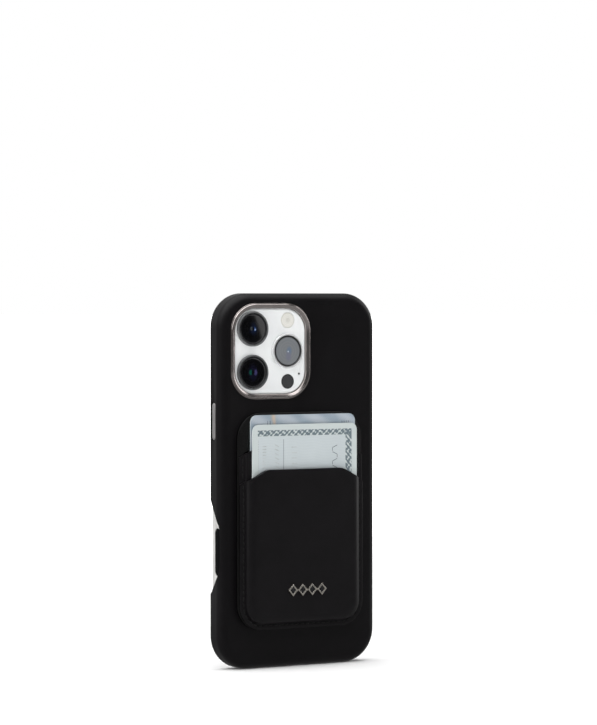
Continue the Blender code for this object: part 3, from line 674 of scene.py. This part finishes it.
phone = {"corner": 13.5, "backEdge": 1.8, "frontEdge": 0.5, "wall": 2.0, "keyGap": 0.12,
         "port": (9.3, 3.5), "screwPlace": 7.2, "screw": 0.8,
         "speakers": 5, "speakerFirst": 11.5, "speakerPitch": 2.6, "speaker": 0.75}
band = {**reach("phone_band"), "corner": phone["corner"]}


def bandLook():
    # brushed along the band, with the plastic breaks of the aerials near its corners
    look = Look("phone band", {})
    x, z = look.axes("XZ")
    lines = look.noise(1.0, 3.0, look.stretched((1500.0, 4200.0, 90.0)))
    low = abs(z - (band["bottom"] + 20.0)) < 0.55
    high = abs(z - (band["top"] - 20.0)) < 0.55
    crossing = (abs(abs(x) - (band["halfX"] - 20.0)) < 0.55) * (abs(z - band["z"]) > band["halfZ"] - 3.0)
    breaks = low.most(high).most(crossing)
    metal = lines.ease(0.3, 0.7).blend((0.80, 0.79, 0.77), (0.88, 0.87, 0.85))
    return look.feed(colour=breaks.blend(metal, (0.62, 0.62, 0.61)), metallic=0.5 - breaks * 0.5,
                     roughness=0.30 + lines * 0.12, normal=look.bump(lines * (1 - breaks), 0.3, 0.004))


def displayLook():
    # black cover glass: the lit area is a shade apart from the printed border
    look = Look("display glass", {"Specular IOR Level": 0.5, "Coat Weight": 0.3, "Coat Roughness": 0.02})
    x, z = look.axes("XZ")
    border = (abs(x) - (band["halfX"] - 3.2)).most(abs(z - band["z"]) - (band["halfZ"] - 3.2)).ease(-0.1, 0.1)
    dots = look.noise(9000.0, 1.0)
    smears = look.noise(60.0, 4.0)
    active = dots.ease(0.4, 0.6).blend((0.006, 0.006, 0.008), (0.010, 0.010, 0.012))
    return look.feed(colour=border.blend(active, (0.003, 0.003, 0.003)), roughness=0.04 + smears * 0.05)


def buildPhone():
    back, far = phone["backEdge"], band["far"]
    near, lip = band["near"], phone["frontEdge"]
    profile = (fillet(back, near + back, back, 262, 180, 10)
               + [(0.0, near + back + 0.4), (0.0, far - lip - 0.4)]
               + fillet(lip, far - lip, lip, 180, 90, 5)
               + [(0.9, far), (0.92, far - 1.1), (phone["wall"], far - 1.2),
                  (phone["wall"], near + 0.1)])
    frameBand = loft("phone_frame", band, profile, ring=True, steps=18)
    tools = []
    for node in [name + "_key" for name in buttonNames] + ["camera_control"]:
        key = reach(node)
        side = 1 if key["x"] > 0 else -1
        width = key["far"] - key["near"]
        tools.append(prism("key tool", stadium(((key["near"] + key["far"]) / 2, key["z"]),
                                               2 * key["halfZ"] + 2 * phone["keyGap"],
                                               width + 2 * phone["keyGap"], 14),
                           acrossX(side * (band["halfX"] + 1), side * (band["halfX"] - 1.4))))
    middle = (near + far) / 2
    tools.append(prism("port tool", [(x, d) for d, x in stadium((middle, 0.0), *phone["port"], 14)],
                       upwards(band["bottom"] - 1, band["bottom"] + phone["wall"] + 0.1)))
    for side in (-1, 1):
        tools.append(prism("screw tool", circle((side * phone["screwPlace"], middle), phone["screw"], 20),
                           upwards(band["bottom"] - 1, band["bottom"] + 0.5)))
        for index in range(phone["speakers"]):
            x = side * (phone["speakerFirst"] + phone["speakerPitch"] * index)
            tools.append(prism("speaker tool", circle((x, middle), phone["speaker"], 20),
                               upwards(band["bottom"] - 1, band["bottom"] + 1.2)))
    settle(carve(frameBand, tools, 0.08, segments=2), bandLook(), "phone", "phone_band", "phone_band")

    glass = loft("display_glass", {**reach("phone_display"), "corner": phone["corner"] - 1.05},
                 [(0.7, far - 0.9), (0.02, far - 0.9), (0.0, far - 0.8), (0.0, far - 0.28)]
                 + fillet(0.28, far - 0.28, 0.28, 180, 90, 6) + [(0.8, far)], steps=18)
    settle(glass, displayLook(), "phone", "display", "phone_display", sharp=50)
    earpiece = prism("earpiece_slit", [(x, z) for z, x in stadium((band["top"] - 2.1, 0.0), 9.0, 0.5, 8)],
                     acrossDepth(far - 0.1, far + 0.012))
    settle(earpiece, mouldedLook("earpiece mesh", (0.02, 0.02, 0.02), 0.6), "phone", "display")
    frontLens = turned("front_camera", (0.0, band["top"] - 7.5),
                       [(1.9, far - 0.1), (1.9, far + 0.01), (1.75, far + 0.02)], count=40)
    settle(frontLens, lensLook("front camera", (0.0, band["top"] - 7.5), 1.9, "plain"), "phone", "lens_glass")

    port = reach("charge_port")
    depth = (port["near"] + port["far"]) / 2
    tongue = prism("port_tongue", [(x, d) for d, x in stadium((depth, 0.0), 6.6, 0.7, 8)],
                   upwards(port["bottom"] + 0.4, port["top"] - 0.1))
    settle(tongue, mouldedLook("port tongue", (0.03, 0.03, 0.03), 0.5), "phone", "port_metal")


def lensLook(name, centre, radius, kind):
    # coated glass over a dark barrel; rings paint the barrel's steps, and the spots round the middle are
    # painted glints and painted reflections in the coated glass
    gloss = {"Roughness": 0.03, "Specular IOR Level": 0.5, "Coat Weight": 0.25, "Coat Roughness": 0.02}
    look = Look(name, gloss)
    across, above, away = look.polar(centre, radius)
    barrel = (0.001, 0.001, 0.0015)
    # painted glints: bright and coloured spots where light reflects off the coated glass
    paintedGlints = {
        "wide": [((0.04, 0.0), 0.36, (0.003, 0.006, 0.018)), ((-0.12, 0.02), 0.12, (0.04, 0.045, 0.045)),
                 ((0.14, -0.03), 0.12, (0.02, 0.05, 0.15)), ((0.16, -0.05), 0.05, (0.35, 0.45, 0.60)),
                 ((0.02, 0.0), 0.08, (0.001, 0.001, 0.002))],
        "tall": [((0.0, 0.0), 0.46, (0.004, 0.004, 0.013)), ((-0.18, 0.0), 0.17, (0.005, 0.055, 0.04)),
                 ((0.18, 0.0), 0.18, (0.036, 0.033, 0.095)), ((0.0, 0.02), 0.16, (0.001, 0.001, 0.002))],
        "far": [((0.1, 0.0), 0.26, (0.075, 0.11, 0.17)), ((0.03, -0.04), 0.05, (0.60, 0.68, 0.76)),
                ((0.05, -0.35), 0.28, (0.10, 0.105, 0.15))],
        "plain": [((0.0, 0.0), 0.35, (0.01, 0.015, 0.05))],
    }[kind]
    # on the far lens the grey ground is a painted reflection of its cover glass
    ground = (0.115, 0.125, 0.135) if kind == "far" else barrel
    ripples = (away * 34.0).wave().ease(0.2, 1.0) * (0.12 if kind == "far" else 0.012)
    colour = ripples.blend(ground, (0.22, 0.23, 0.26))
    for (shiftX, shiftZ), size, glintColour in paintedGlints:
        offX, offZ = across / radius - shiftX, above / radius - shiftZ
        fromGlint = (offX * offX + offZ * offZ * 0.45).root()
        colour = (1 - fromGlint.ease(size * 0.35, size)).blend(colour, glintColour)
    rim = away.ease(0.86, 0.93)
    colour = rim.blend(colour, (0.02, 0.02, 0.022))
    return look.feed(colour=colour, roughness=0.025 + rim * 0.12)


def flashLook(centre, radius):
    # pale phosphor under a ribbed lens, warmer in the middle
    look = Look("flash lens", {"Specular IOR Level": 0.4, "Coat Weight": 0.3, "Coat Roughness": 0.08})
    across, above, away = look.polar(centre, radius)
    rings = (away * 30.0).wave().ease(-1.0, 1.0)
    grid = (across * 9.0).wave() * (above * 9.0).wave()
    centreSpot = 1 - away.ease(0.15, 0.5)
    colour = (rings * 0.45 + centreSpot * 0.4 + away.ease(0.75, 1.0) * 0.3).blend(
        (0.80, 0.79, 0.74), (0.55, 0.54, 0.49))
    return look.feed(colour=colour, roughness=0.28 + rings * 0.08,
                     normal=look.bump(rings + grid * 0.3, 0.5, 0.08))


def buildCameras():
    white = glossGlassLook("phone white", (0.86, 0.875, 0.875), (0.80, 0.815, 0.82))
    plateau = reach("camera_plateau")
    near, far = plateau["near"], plateau["far"]
    base = {**plateau, "corner": 9.9}
    block = loft("camera_block", base, [(1.0, near)] + fillet(0.35, near + 0.35, 0.35, 270, 180, 6)
                 + [(0.0, far - 0.1), (0.1, far)], steps=18)
    seats = []
    for node, room in (("flash_lens", 0.12), ("depth_sensor", 0.12), ("rear_microphone", 0.1)):
        piece = reach(node)
        seats.append(turned("seat tool", (piece["x"], piece["z"]),
                            [(piece["halfX"] + room, near - 1), (piece["halfX"] + room, near + 0.55)],
                            count=48))
    settle(carve(block, seats, 0.05, segments=2), white, "phone", "phone_white", "camera_plateau")
    backGlass = loft("back_glass", {**reach("phone_back_glass"), "corner": phone["corner"] - 2.15},
                     [(0.6, band["near"])] + fillet(0.12, band["near"] + 0.12, 0.12, 270, 180, 4)
                     + [(0.0, band["near"] + 0.65), (0.1, band["near"] + 0.75)], steps=18)
    settle(backGlass, white, "phone", "phone_white", "phone_back_glass", sharp=50)

    # one rim metal given a tone per lens as painted light and shade: light on the far lens, dark on the wide
    # and tall lenses, and the liners likewise
    rimShades = {"wide": (0.20, 0.205, 0.21), "tall": (0.14, 0.145, 0.15), "far": (0.86, 0.87, 0.88)}
    linerShades = {"wide": 0.06, "tall": 0.06, "far": 0.22}
    for number, kind in ((1, "wide"), (2, "tall"), (3, "far")):
        ring = reach("lens_ring_%d" % number)
        centre = (ring["x"], ring["z"])
        outer, top, seat = ring["halfX"], ring["near"], ring["far"]
        inner = reach("lens_glass_%d" % number)["halfX"] + 0.1
        rim = turned("lens_rim_%d" % number, centre,
                     [(outer, seat), (outer, top + 0.32)] + [(outer - r, top + d) for r, d in
                      ((0.03, 0.18), (0.10, 0.08), (0.2, 0.02), (0.32, 0.0))]
                     + [(inner + 0.34, top), (inner + 0.28, top + 0.03), (inner + 0.26, top + 0.1),
                        (inner + 0.24, top + 0.14), (inner + 0.24, seat)], ring=True, count=96)
        steel = metalLook("lens rim metal %d" % number, rimShades[kind], 0.22, (500.0, 500.0, 500.0), metallic=0.5)
        settle(rim, steel, "phone", "lens_metal", "lens_ring_%d" % number, sharp=50)
        liner = turned("lens_liner_%d" % number, centre,
                       [(inner + 0.2, seat), (inner + 0.2, top + 0.1), (inner + 0.1, top + 0.06),
                        (inner - 0.02, top + 0.1), (inner - 0.12, top + 0.22), (inner - 0.12, seat)],
                       ring=True, count=96)
        darkSteel = metalLook("lens liner metal %d" % number, (linerShades[kind],) * 3, 0.3, (500.0, 500.0, 500.0))
        settle(liner, darkSteel, "phone", "lens_metal", sharp=50)
        glassTop = top + 0.3
        pane = turned("lens_pane_%d" % number, centre,
                      [(inner - 0.9, glassTop), (inner - 0.36, glassTop), (inner - 0.22, glassTop + 0.03),
                       (inner - 0.15, glassTop + 0.12), (inner - 0.15, seat)], count=96)
        settle(pane, lensLook("lens glass %d" % number, centre, inner, kind), "phone", "lens_glass",
               "lens_glass_%d" % number, sharp=50)

    flash = reach("flash_lens")
    centre, radius = (flash["x"], flash["z"]), flash["halfX"]
    dome = turned("flash_dome", centre,
                  [(radius * share, near + 0.02 - 0.08 * math.cos(share * math.pi / 2))
                   for share in (0.03, 0.2, 0.4, 0.6, 0.8, 0.95)]
                  + [(radius, near + 0.06), (radius, near + 0.5)], count=64)
    settle(dome, flashLook(centre, radius), "phone", "flash_lens", "flash_lens", sharp=50)
    sensor = reach("depth_sensor")
    centre, radius = (sensor["x"], sensor["z"]), sensor["halfX"]
    window = turned("sensor_pane", centre,
                    [(radius - 0.6, near), (radius - 0.25, near), (radius - 0.12, near + 0.02),
                     (radius, near + 0.1), (radius, near + 0.5)], count=64)
    sensorLook = mouldedLook("sensor window", (0.030, 0.030, 0.032), 0.2, 900.0, 0.002)
    settle(window, sensorLook, "phone", "sensor_window", "depth_sensor", sharp=50)
    dress(mouldedLook("microphone mesh", (0.05, 0.05, 0.05), 0.6), "rear_microphone")


buildPhone()
buildCameras()
control = stadiumPiece("control_pad", -1, "camera_control",
                       [(-0.9, 0.0), (-0.35, 0.015), (-0.14, 0.06), (-0.04, 0.14), (0.0, 0.3), (0.0, 0.86)])
controlLook = mouldedLook("touch pad", (0.001, 0.001, 0.0014), 0.14, 300.0, 0.001, 0.06)
settle(control, controlLook, "control", "touch_control", "camera_control", sharp=60)
print("phone ready")


# the wallet

wallet = {"corner": 11.5, "inset": 2.0, "pitch": 2.7, "groove": 0.14, "grooveWidth": 0.5,
          "shoulder": 17.5, "ease": 4.0, "slope": 0.52, "seamEnd": 1.2,
          "tone": (0.0046, 0.0038, 0.0048), "roughness": 0.42, "grain": 2300.0, "grainDepth": 0.03,
          "specular": 0.25}
walletBase = {**reach("wallet_back"), "corner": wallet["corner"]}
walletLeather = leatherLook("wallet leather", wallet["tone"], wallet["roughness"], wallet["grain"],
                            wallet["grainDepth"], wallet["specular"], walletBase)
edgePaint = mouldedLook("edge paint", (0.002, 0.002, 0.002), 0.18, 900.0, 0.01, 0.25)


def up(levels):
    # inset and height above the case's back, turned into depths
    return [(inset, -height, *corner) for inset, height, *corner in levels]


def mouthDrop(x):
    beyond = abs(x) - wallet["shoulder"]
    if beyond <= 0:
        return 0.0
    if beyond < wallet["ease"]:
        return wallet["slope"] * beyond ** 2 / (2 * wallet["ease"])
    return wallet["slope"] * (beyond - wallet["ease"] / 2)


def mouthTool(top):
    wide = walletBase["halfX"] + 2
    count = 80
    across = [wide * (2 * step / count - 1) for step in range(count + 1)]
    points = [(walletBase["x"] + x, top - mouthDrop(x)) for x in across]
    points += [(walletBase["x"] + wide, walletBase["top"] + 5),
               (walletBase["x"] - wide, walletBase["top"] + 5)]
    return prism("mouth tool", points, acrossDepth(-1.0, -12.0))


def grooved(low, high, inner):
    # flange top from its inner end out to its edge, with the stitched groove in it
    middle, half, deep = wallet["inset"], wallet["grooveWidth"] / 2, wallet["groove"]
    return [(inner, high), (middle + half + 0.14, high), (middle + half, high - deep),
            (middle - half, high - deep), (middle - half - 0.14, high), (0.32, high), (0.2, high - 0.02),
            (0.09, high - 0.09), (0.02, high - 0.2), (0.0, (low + high) / 2), (0.03, low + 0.1), (0.12, low)]


def buildWallet():
    back = reach("wallet_back")
    low, high = -back["far"], -back["near"]
    panel = loft("wallet_panel", walletBase,
                 up([(0.4, low), (0.16, low), (0.05, low + 0.05), (0.0, (low + high) / 2),
                     (0.05, high - 0.05), (0.16, high), (0.4, high)]), steps=18)
    settle(panel, walletLeather, "wallet", "wallet_leather", "wallet_back")

    divider = reach("wallet_divider")
    low, top = -divider["far"], -divider["near"]
    high = low + 0.45
    under = top - 0.4
    sheet = loft("card_divider", walletBase,
                 up([(4.4, top), (3.7, top), (3.5, top - 0.06), (3.4, top - 0.18), (3.34, high + 0.2),
                     (3.28, high + 0.06)] + grooved(low, high, 3.18)
                    + [(3.8, low), (3.82, under - 0.1), (4.0, under), (4.6, under)]), steps=18)
    settle(carve(sheet, [mouthTool(divider["top"])], 0.1), walletLeather, "wallet", "wallet_leather",
           "wallet_divider")

    front = reach("wallet_front")
    low, top = -front["far"], -front["near"]
    high, under = low + 0.6, top - 2.1
    pillow = [(7.8, top, 5.6), (7.0, top, 6.0), (6.5, top - 0.02, 6.2), (6.0, top - 0.07, 6.45),
              (5.5, top - 0.15, 6.7), (5.0, top - 0.3, 6.98), (4.5, top - 0.54, 7.25),
              (4.0, top - 0.84, 7.52), (3.58, top - 1.15, 7.76), (3.24, top - 1.5, 7.96),
              (2.98, top - 1.9, 8.12), (2.85, top - 2.35, 8.2), (2.79, high + 0.42, 8.26),
              (2.75, high + 0.2, 8.3), (2.7, high + 0.06, 8.35)]
    pocket = loft("front_pocket", walletBase,
                  up(pillow + grooved(low, high, 2.62)
                     + [(3.2, low, 7.2), (3.2, under - 0.3, 7.2), (3.32, under - 0.1, 7.1),
                        (3.6, under, 6.8), (4.4, under, 6.4)]), steps=18)
    settle(carve(pocket, [mouthTool(front["top"])], 0.22), walletLeather, "wallet", "wallet_leather",
           "wallet_front")

    board = boardLook("stiffener board", (0.006, 0.006, 0.006))
    for name, node, slotName, finish in (("wallet_board", "wallet_core", "wallet_board", board),
                                         ("pocket_lining", "wallet_lining", "wallet_leather", edgePaint)):
        box = reach(node)
        low, high = -box["far"], -box["near"]
        inset = walletBase["halfX"] - box["halfX"]
        soft = min(0.08, (high - low) / 3)
        layer = loft(name, walletBase, up([(inset + 0.6, low), (inset + soft, low), (inset, low + soft),
                                           (inset, high - soft), (inset + soft, high), (inset + 0.6, high)]),
                     steps=18)
        settle(layer, finish, "wallet", slotName, node)


def seamPlace(run, halfX, low, radius, top):
    # spot and direction on the left half of a seam, run down it from its top end
    side, turn = top - low - radius, math.pi / 2 * radius
    if run < side:
        return -halfX, top - run, -math.pi / 2
    if run < side + turn:
        angle = math.pi + (run - side) / radius
        return (-halfX + radius + radius * math.cos(angle),
                low + radius + radius * math.sin(angle), angle + math.pi / 2)
    return -halfX + radius + run - side - turn, low, 0.0


def buildSeam(name, node, top, length, height, look, mirrored=False):
    # every stitch is a short bowed capsule that dives into the leather at both ends
    halfX = walletBase["halfX"] - wallet["inset"]
    low = walletBase["bottom"] + wallet["inset"]
    radius = wallet["corner"] - wallet["inset"]
    full = 2 * (top - low - radius + math.pi / 2 * radius + halfX - radius)
    total = length or full
    count = int(total / wallet["pitch"])
    build = bmesh.new()
    sides, thick, slices = 8, 0.24, 8
    for index in range(count):
        loops = []
        for step in range(slices + 1):
            share = step / slices
            along = (index + 0.1 + 0.8 * share) * total / count
            other = along > full / 2
            x, z, angle = seamPlace(full - along if other else along, halfX, low, radius, top)
            flip = other != mirrored
            x, angle = (-x, math.pi - angle) if flip else (x, angle)
            bow = math.sin(math.pi * share)
            size = thick * (0.45 + 0.55 * min(bow * 2.2, 1.0))
            rise = height + 0.16 * bow ** 0.5 - 0.12
            loops.append([build.verts.new(spot(
                walletBase["x"] + x - math.sin(angle) * size * math.cos(a),
                -rise - size * math.sin(a), z + math.cos(angle) * size * math.cos(a)))
                for a in (2 * math.pi * side / sides for side in range(sides))])
        skin(build, loops)
    settle(fresh(name, build), look, "wallet", "thread", node, sharp=80)


def buildEmblem():
    rail = reach("badge_rail")
    inlays = [reach("badge_inlay_%d" % number) for number in range(1, 5)]
    low, tip = -rail["far"], -rail["near"]
    inlayShare = 0.5   # an inlay's size as a share of its frame's
    halfX, halfZ = inlays[0]["halfX"] / inlayShare, inlays[0]["halfZ"] / inlayShare
    metal = metalLook("emblem metal", (0.66, 0.62, 0.56), 0.22, (700.0, 700.0, 3000.0))
    enamel = mouldedLook("emblem enamel", (0.006, 0.006, 0.007), 0.15, 500.0, 0.004)

    def lozenge(box, profile, name, ring):
        build = bmesh.new()
        loops = []
        for size, height in profile:
            corners = [(1, 0), (0, 1), (-1, 0), (0, -1)]
            loops.append([build.verts.new(spot(box["x"] + halfX * size * x, -height,
                                               box["z"] + halfZ * size * z)) for x, z in corners])
        skin(build, loops, ring)
        return fresh(name, build)

    frames = [lozenge(box, [(1.0, low), (1.0, tip - 0.3), (0.985, tip - 0.16), (0.95, tip - 0.05),
                            (0.9, tip), (0.7, tip), (0.65, tip - 0.04), (0.62, tip - 0.14),
                            (0.6, tip - 0.3), (0.6, low)], "frame tool", True) for box in inlays]
    railBar = prism("emblem_frames", [(rail["left"] + 0.8, inlays[0]["z"] - 0.5),
                                      (rail["right"] - 0.8, inlays[0]["z"] - 0.5),
                                      (rail["right"] - 0.8, inlays[0]["z"] + 0.5),
                                      (rail["left"] + 0.8, inlays[0]["z"] + 0.5)],
                    acrossDepth(-low, -low - 0.25))
    settle(carve(railBar, frames, operation="UNION"), metal, "wallet", "badge_metal", "badge_rail", sharp=30)
    for number, box in enumerate(inlays, 1):
        stone = lozenge(box, [(0.56, low + 0.25), (0.56, tip - 0.34), (0.5, tip - 0.24), (0.2, tip - 0.18)],
                        "emblem_stone_%d" % number, False)
        settle(stone, enamel, "wallet", "badge_inlay", "badge_inlay_%d" % number, sharp=20)


buildWallet()
waxedThread = threadLook("waxed thread", (0.006, 0.006, 0.006))
pocketTop, dividerTop = reach("wallet_front")["top"], reach("wallet_divider")["top"]
edgeDrop = mouthDrop(walletBase["halfX"] - wallet["inset"]) + wallet["seamEnd"]
buildSeam("front_stitches", "front_seam", pocketTop - edgeDrop, None,
          -reach("wallet_front")["far"] + 0.6, waxedThread)
for sideName, mirrored in (("left", False), ("right", True)):
    buildSeam("divider_stitches_" + sideName, "divider_seam_" + sideName, dividerTop - edgeDrop,
              dividerTop - pocketTop - 2 * wallet["seamEnd"],
              -reach("wallet_divider")["far"] + 0.45, waxedThread, mirrored)
buildEmblem()
print("wallet ready")


# the cards

cardShape = {"corner": 3.18, "edge": 0.12, "print": 0.1}
frontCard, backCard = reach("card_front"), reach("card_back")


def frontCardLook():
    # pale green-grey print: a scrollwork band along the top and the right, a rule and fine lines
    look = Look("front card print", {"Specular IOR Level": 0.4, "Coat Weight": 0.2, "Coat Roughness": 0.12})
    x, depth, z = look.axes()
    across, down = x - frontCard["left"], frontCard["top"] - z
    wobble = look.noise(420.0, 3.0)
    paper = look.noise(90.0, 3.0)
    width = 2 * frontCard["halfX"]
    topBand = (down > 2.5) * (down < 5.1) * (across > 2.6) * (across < width - 2.8)
    sideBand = (across > width - 6.0) * (across < width - 2.8) * (down > 2.5)
    scroll = ((across * 1.95 + wobble * 5.0).wave() * (down * 2.6 + wobble * 4.0).wave()
              + ((across + down) * 3.6).wave() * 0.5)
    sideScroll = ((down * 1.95 + wobble * 5.0).wave() * (across * 2.6 + wobble * 4.0).wave()
                  + ((across - down) * 3.6).wave() * 0.5)
    ornament = (topBand * scroll.ease(-0.65, 0.1)).most(sideBand * sideScroll.ease(-0.65, 0.1))
    rule = (abs(across - 15.8) < 0.2) * (down > 6.6)
    dots = (abs(across - 2.9) < 0.12) * (down > 6.6) * ((down * 6.0).wave() > 0.0)
    inner = (across > 3.0) * (across < width - 6.2) * (down > 5.3)
    lines = (down * 9.0 + (across * 0.55).wave() * 1.6).wave().ease(0.1, 1.0) * inner
    base = (paper * 0.7 + lines * 0.3).ease(0.2, 0.8).blend((0.525, 0.58, 0.60), (0.59, 0.645, 0.66))
    light = (1 - inner).blend(base, (0.56, 0.615, 0.61))
    printed = (ornament * 0.85).most(rule * 0.5).most(dots * 0.4)
    colour = (depth > frontCard["near"] + cardShape["print"]).blend(
        printed.blend(light, (0.06, 0.105, 0.135)), (0.66, 0.71, 0.71))
    return look.feed(colour=colour, roughness=0.3 + paper * 0.1, normal=look.bump(printed, 0.1, 0.01))


def backCardLook():
    # blue-grey print with slanted tints, a warm patch and two short bars
    look = Look("back card print", {"Specular IOR Level": 0.4, "Coat Weight": 0.2, "Coat Roughness": 0.12})
    x, depth, z = look.axes()
    across, down = x - backCard["left"], backCard["top"] - z
    cloud = look.noise(110.0, 4.0)
    slant = ((across * 0.42 - down * 0.62) + cloud * 2.4).wave()
    fine = ((across + down) * 5.0).wave()
    ground = (slant * 0.4 + fine * 0.08 + cloud * 0.5).ease(-0.3, 0.75).blend(
        (0.27, 0.335, 0.40), (0.43, 0.48, 0.53))
    fromPatch = (abs(across - 11.5 - down * 0.15) + cloud * 1.4).ease(0.6, 2.4)
    warm = (1 - fromPatch) * (1 - (down - 1.0).ease(2.5, 4.5))
    bars = ((abs(across - 8.6) < 0.14) + (abs(across - 9.9) < 0.2)) * (down > 2.6) * (down < 4.9)
    marks = (abs(down - 3.6) < 0.4) * (across > 46.5) * (across < 51.5) * ((across * 5.5).wave() > 0.1)
    printed = (bars * 0.75).most(marks * 0.55)
    colour = printed.blend((warm * 0.75).blend(ground, (0.60, 0.44, 0.28)), (0.06, 0.07, 0.09))
    colour = (depth > backCard["near"] + cardShape["print"]).blend(colour, (0.60, 0.66, 0.68))
    return look.feed(colour=colour, roughness=0.32 + cloud * 0.1, normal=look.bump(fine, 0.05, 0.005))


def buildCard(name, node, body, slotName, look):
    box = {**reach(node), "corner": cardShape["corner"]}
    soft, near, far = cardShape["edge"], box["near"], box["far"]
    profile = ([(0.8, near)] + fillet(soft, near + soft, soft, 270, 180, 5)
               + fillet(soft, far - soft, soft, 180, 90, 5) + [(0.8, far)])
    settle(loft(name, box, profile, steps=14), look, body, slotName, node, sharp=60)


def buildEmbossing():
    # raised bars in upright rows where a real card has its pressed figures
    build = bmesh.new()
    dark = bmesh.new()
    near = frontCard["near"]

    def stroke(target, x, down, length, width, tilt, rise):
        loops = []
        for grow, level in ((0.0, 0.02), (0.0, -rise * 0.5), (-0.07, -rise), (-0.12, -rise)):
            outlinePoints = stadium((0.0, 0.0), length + 2 * grow, width + 2 * grow, 5)
            loops.append([target.verts.new(spot(
                frontCard["left"] + x + u * math.cos(tilt) - v * math.sin(tilt), near + level,
                frontCard["top"] - down + u * math.sin(tilt) + v * math.cos(tilt)))
                for u, v in outlinePoints])
        skin(target, loops)

    rows = (
        # place from the left edge, first and last place from the top, step, length, tilt
        (6.0, 9.6, 21.0, 1.3, 2.0, 90), (12.4, 9.4, 21.0, 1.9, 2.4, 66), (21.3, 10.2, 21.0, 2.4, 2.8, 90),
    )
    for x, first, last, step, length, tilt in rows:
        for index in range(int((last - first) / step)):
            stroke(build, x, first + index * step, length, 0.42, math.radians(tilt), 0.1)
    for index in range(4):
        down = 10.3 + index * 3.0
        stroke(dark, 42.4, down, 2.7, 0.26, math.radians(90 + 24 * (-1) ** index), 0.05)
        stroke(dark, 41.1 + 2.5 * (index % 2), down + 1.3, 1.5, 0.26, 0.0, 0.05)
    # the raised marks are toned darker than the card: painted shade of their relief
    shadedRaisedMarks = mouldedLook("raised card marks", (0.49, 0.53, 0.54), 0.28, 500.0, 0.004)
    settle(fresh("card_embossing", build), shadedRaisedMarks, "front_card", "card_front", sharp=50)
    ink = mouldedLook("dark card marks", (0.10, 0.13, 0.15), 0.35, 500.0, 0.004)
    settle(fresh("card_ink_marks", dark), ink, "front_card", "card_front", sharp=50)


buildCard("front_card_body", "card_front", "front_card", "card_front", frontCardLook())
buildCard("back_card_body", "card_back", "back_card", "card_back", backCardLook())
buildEmbossing()
print("cards ready")


# pieces that keep their own shape

dress(mouldedLook("shell plastic", (0.014, 0.014, 0.015), 0.5), "case_shell")
dress(suedeLook("microfibre lining", (0.05, 0.05, 0.055)), "case_lining")
dress(metalLook("magnet plating", (0.55, 0.55, 0.56), 0.35, (300.0, 300.0, 300.0)),
      "case_magnets", "case_align_magnet", "wallet_magnets", "wallet_align_magnet", "shield_plate")
dress(mouldedLook("button foot", (0.02, 0.02, 0.02), 0.6), *[name + "_button_foot" for name in buttonNames])
dress(mouldedLook("sealed block", (0.05, 0.05, 0.055), 0.6), "phone_core")
dress(metalLook("port steel", (0.25, 0.25, 0.26), 0.35, (900.0, 900.0, 300.0)), "charge_port")
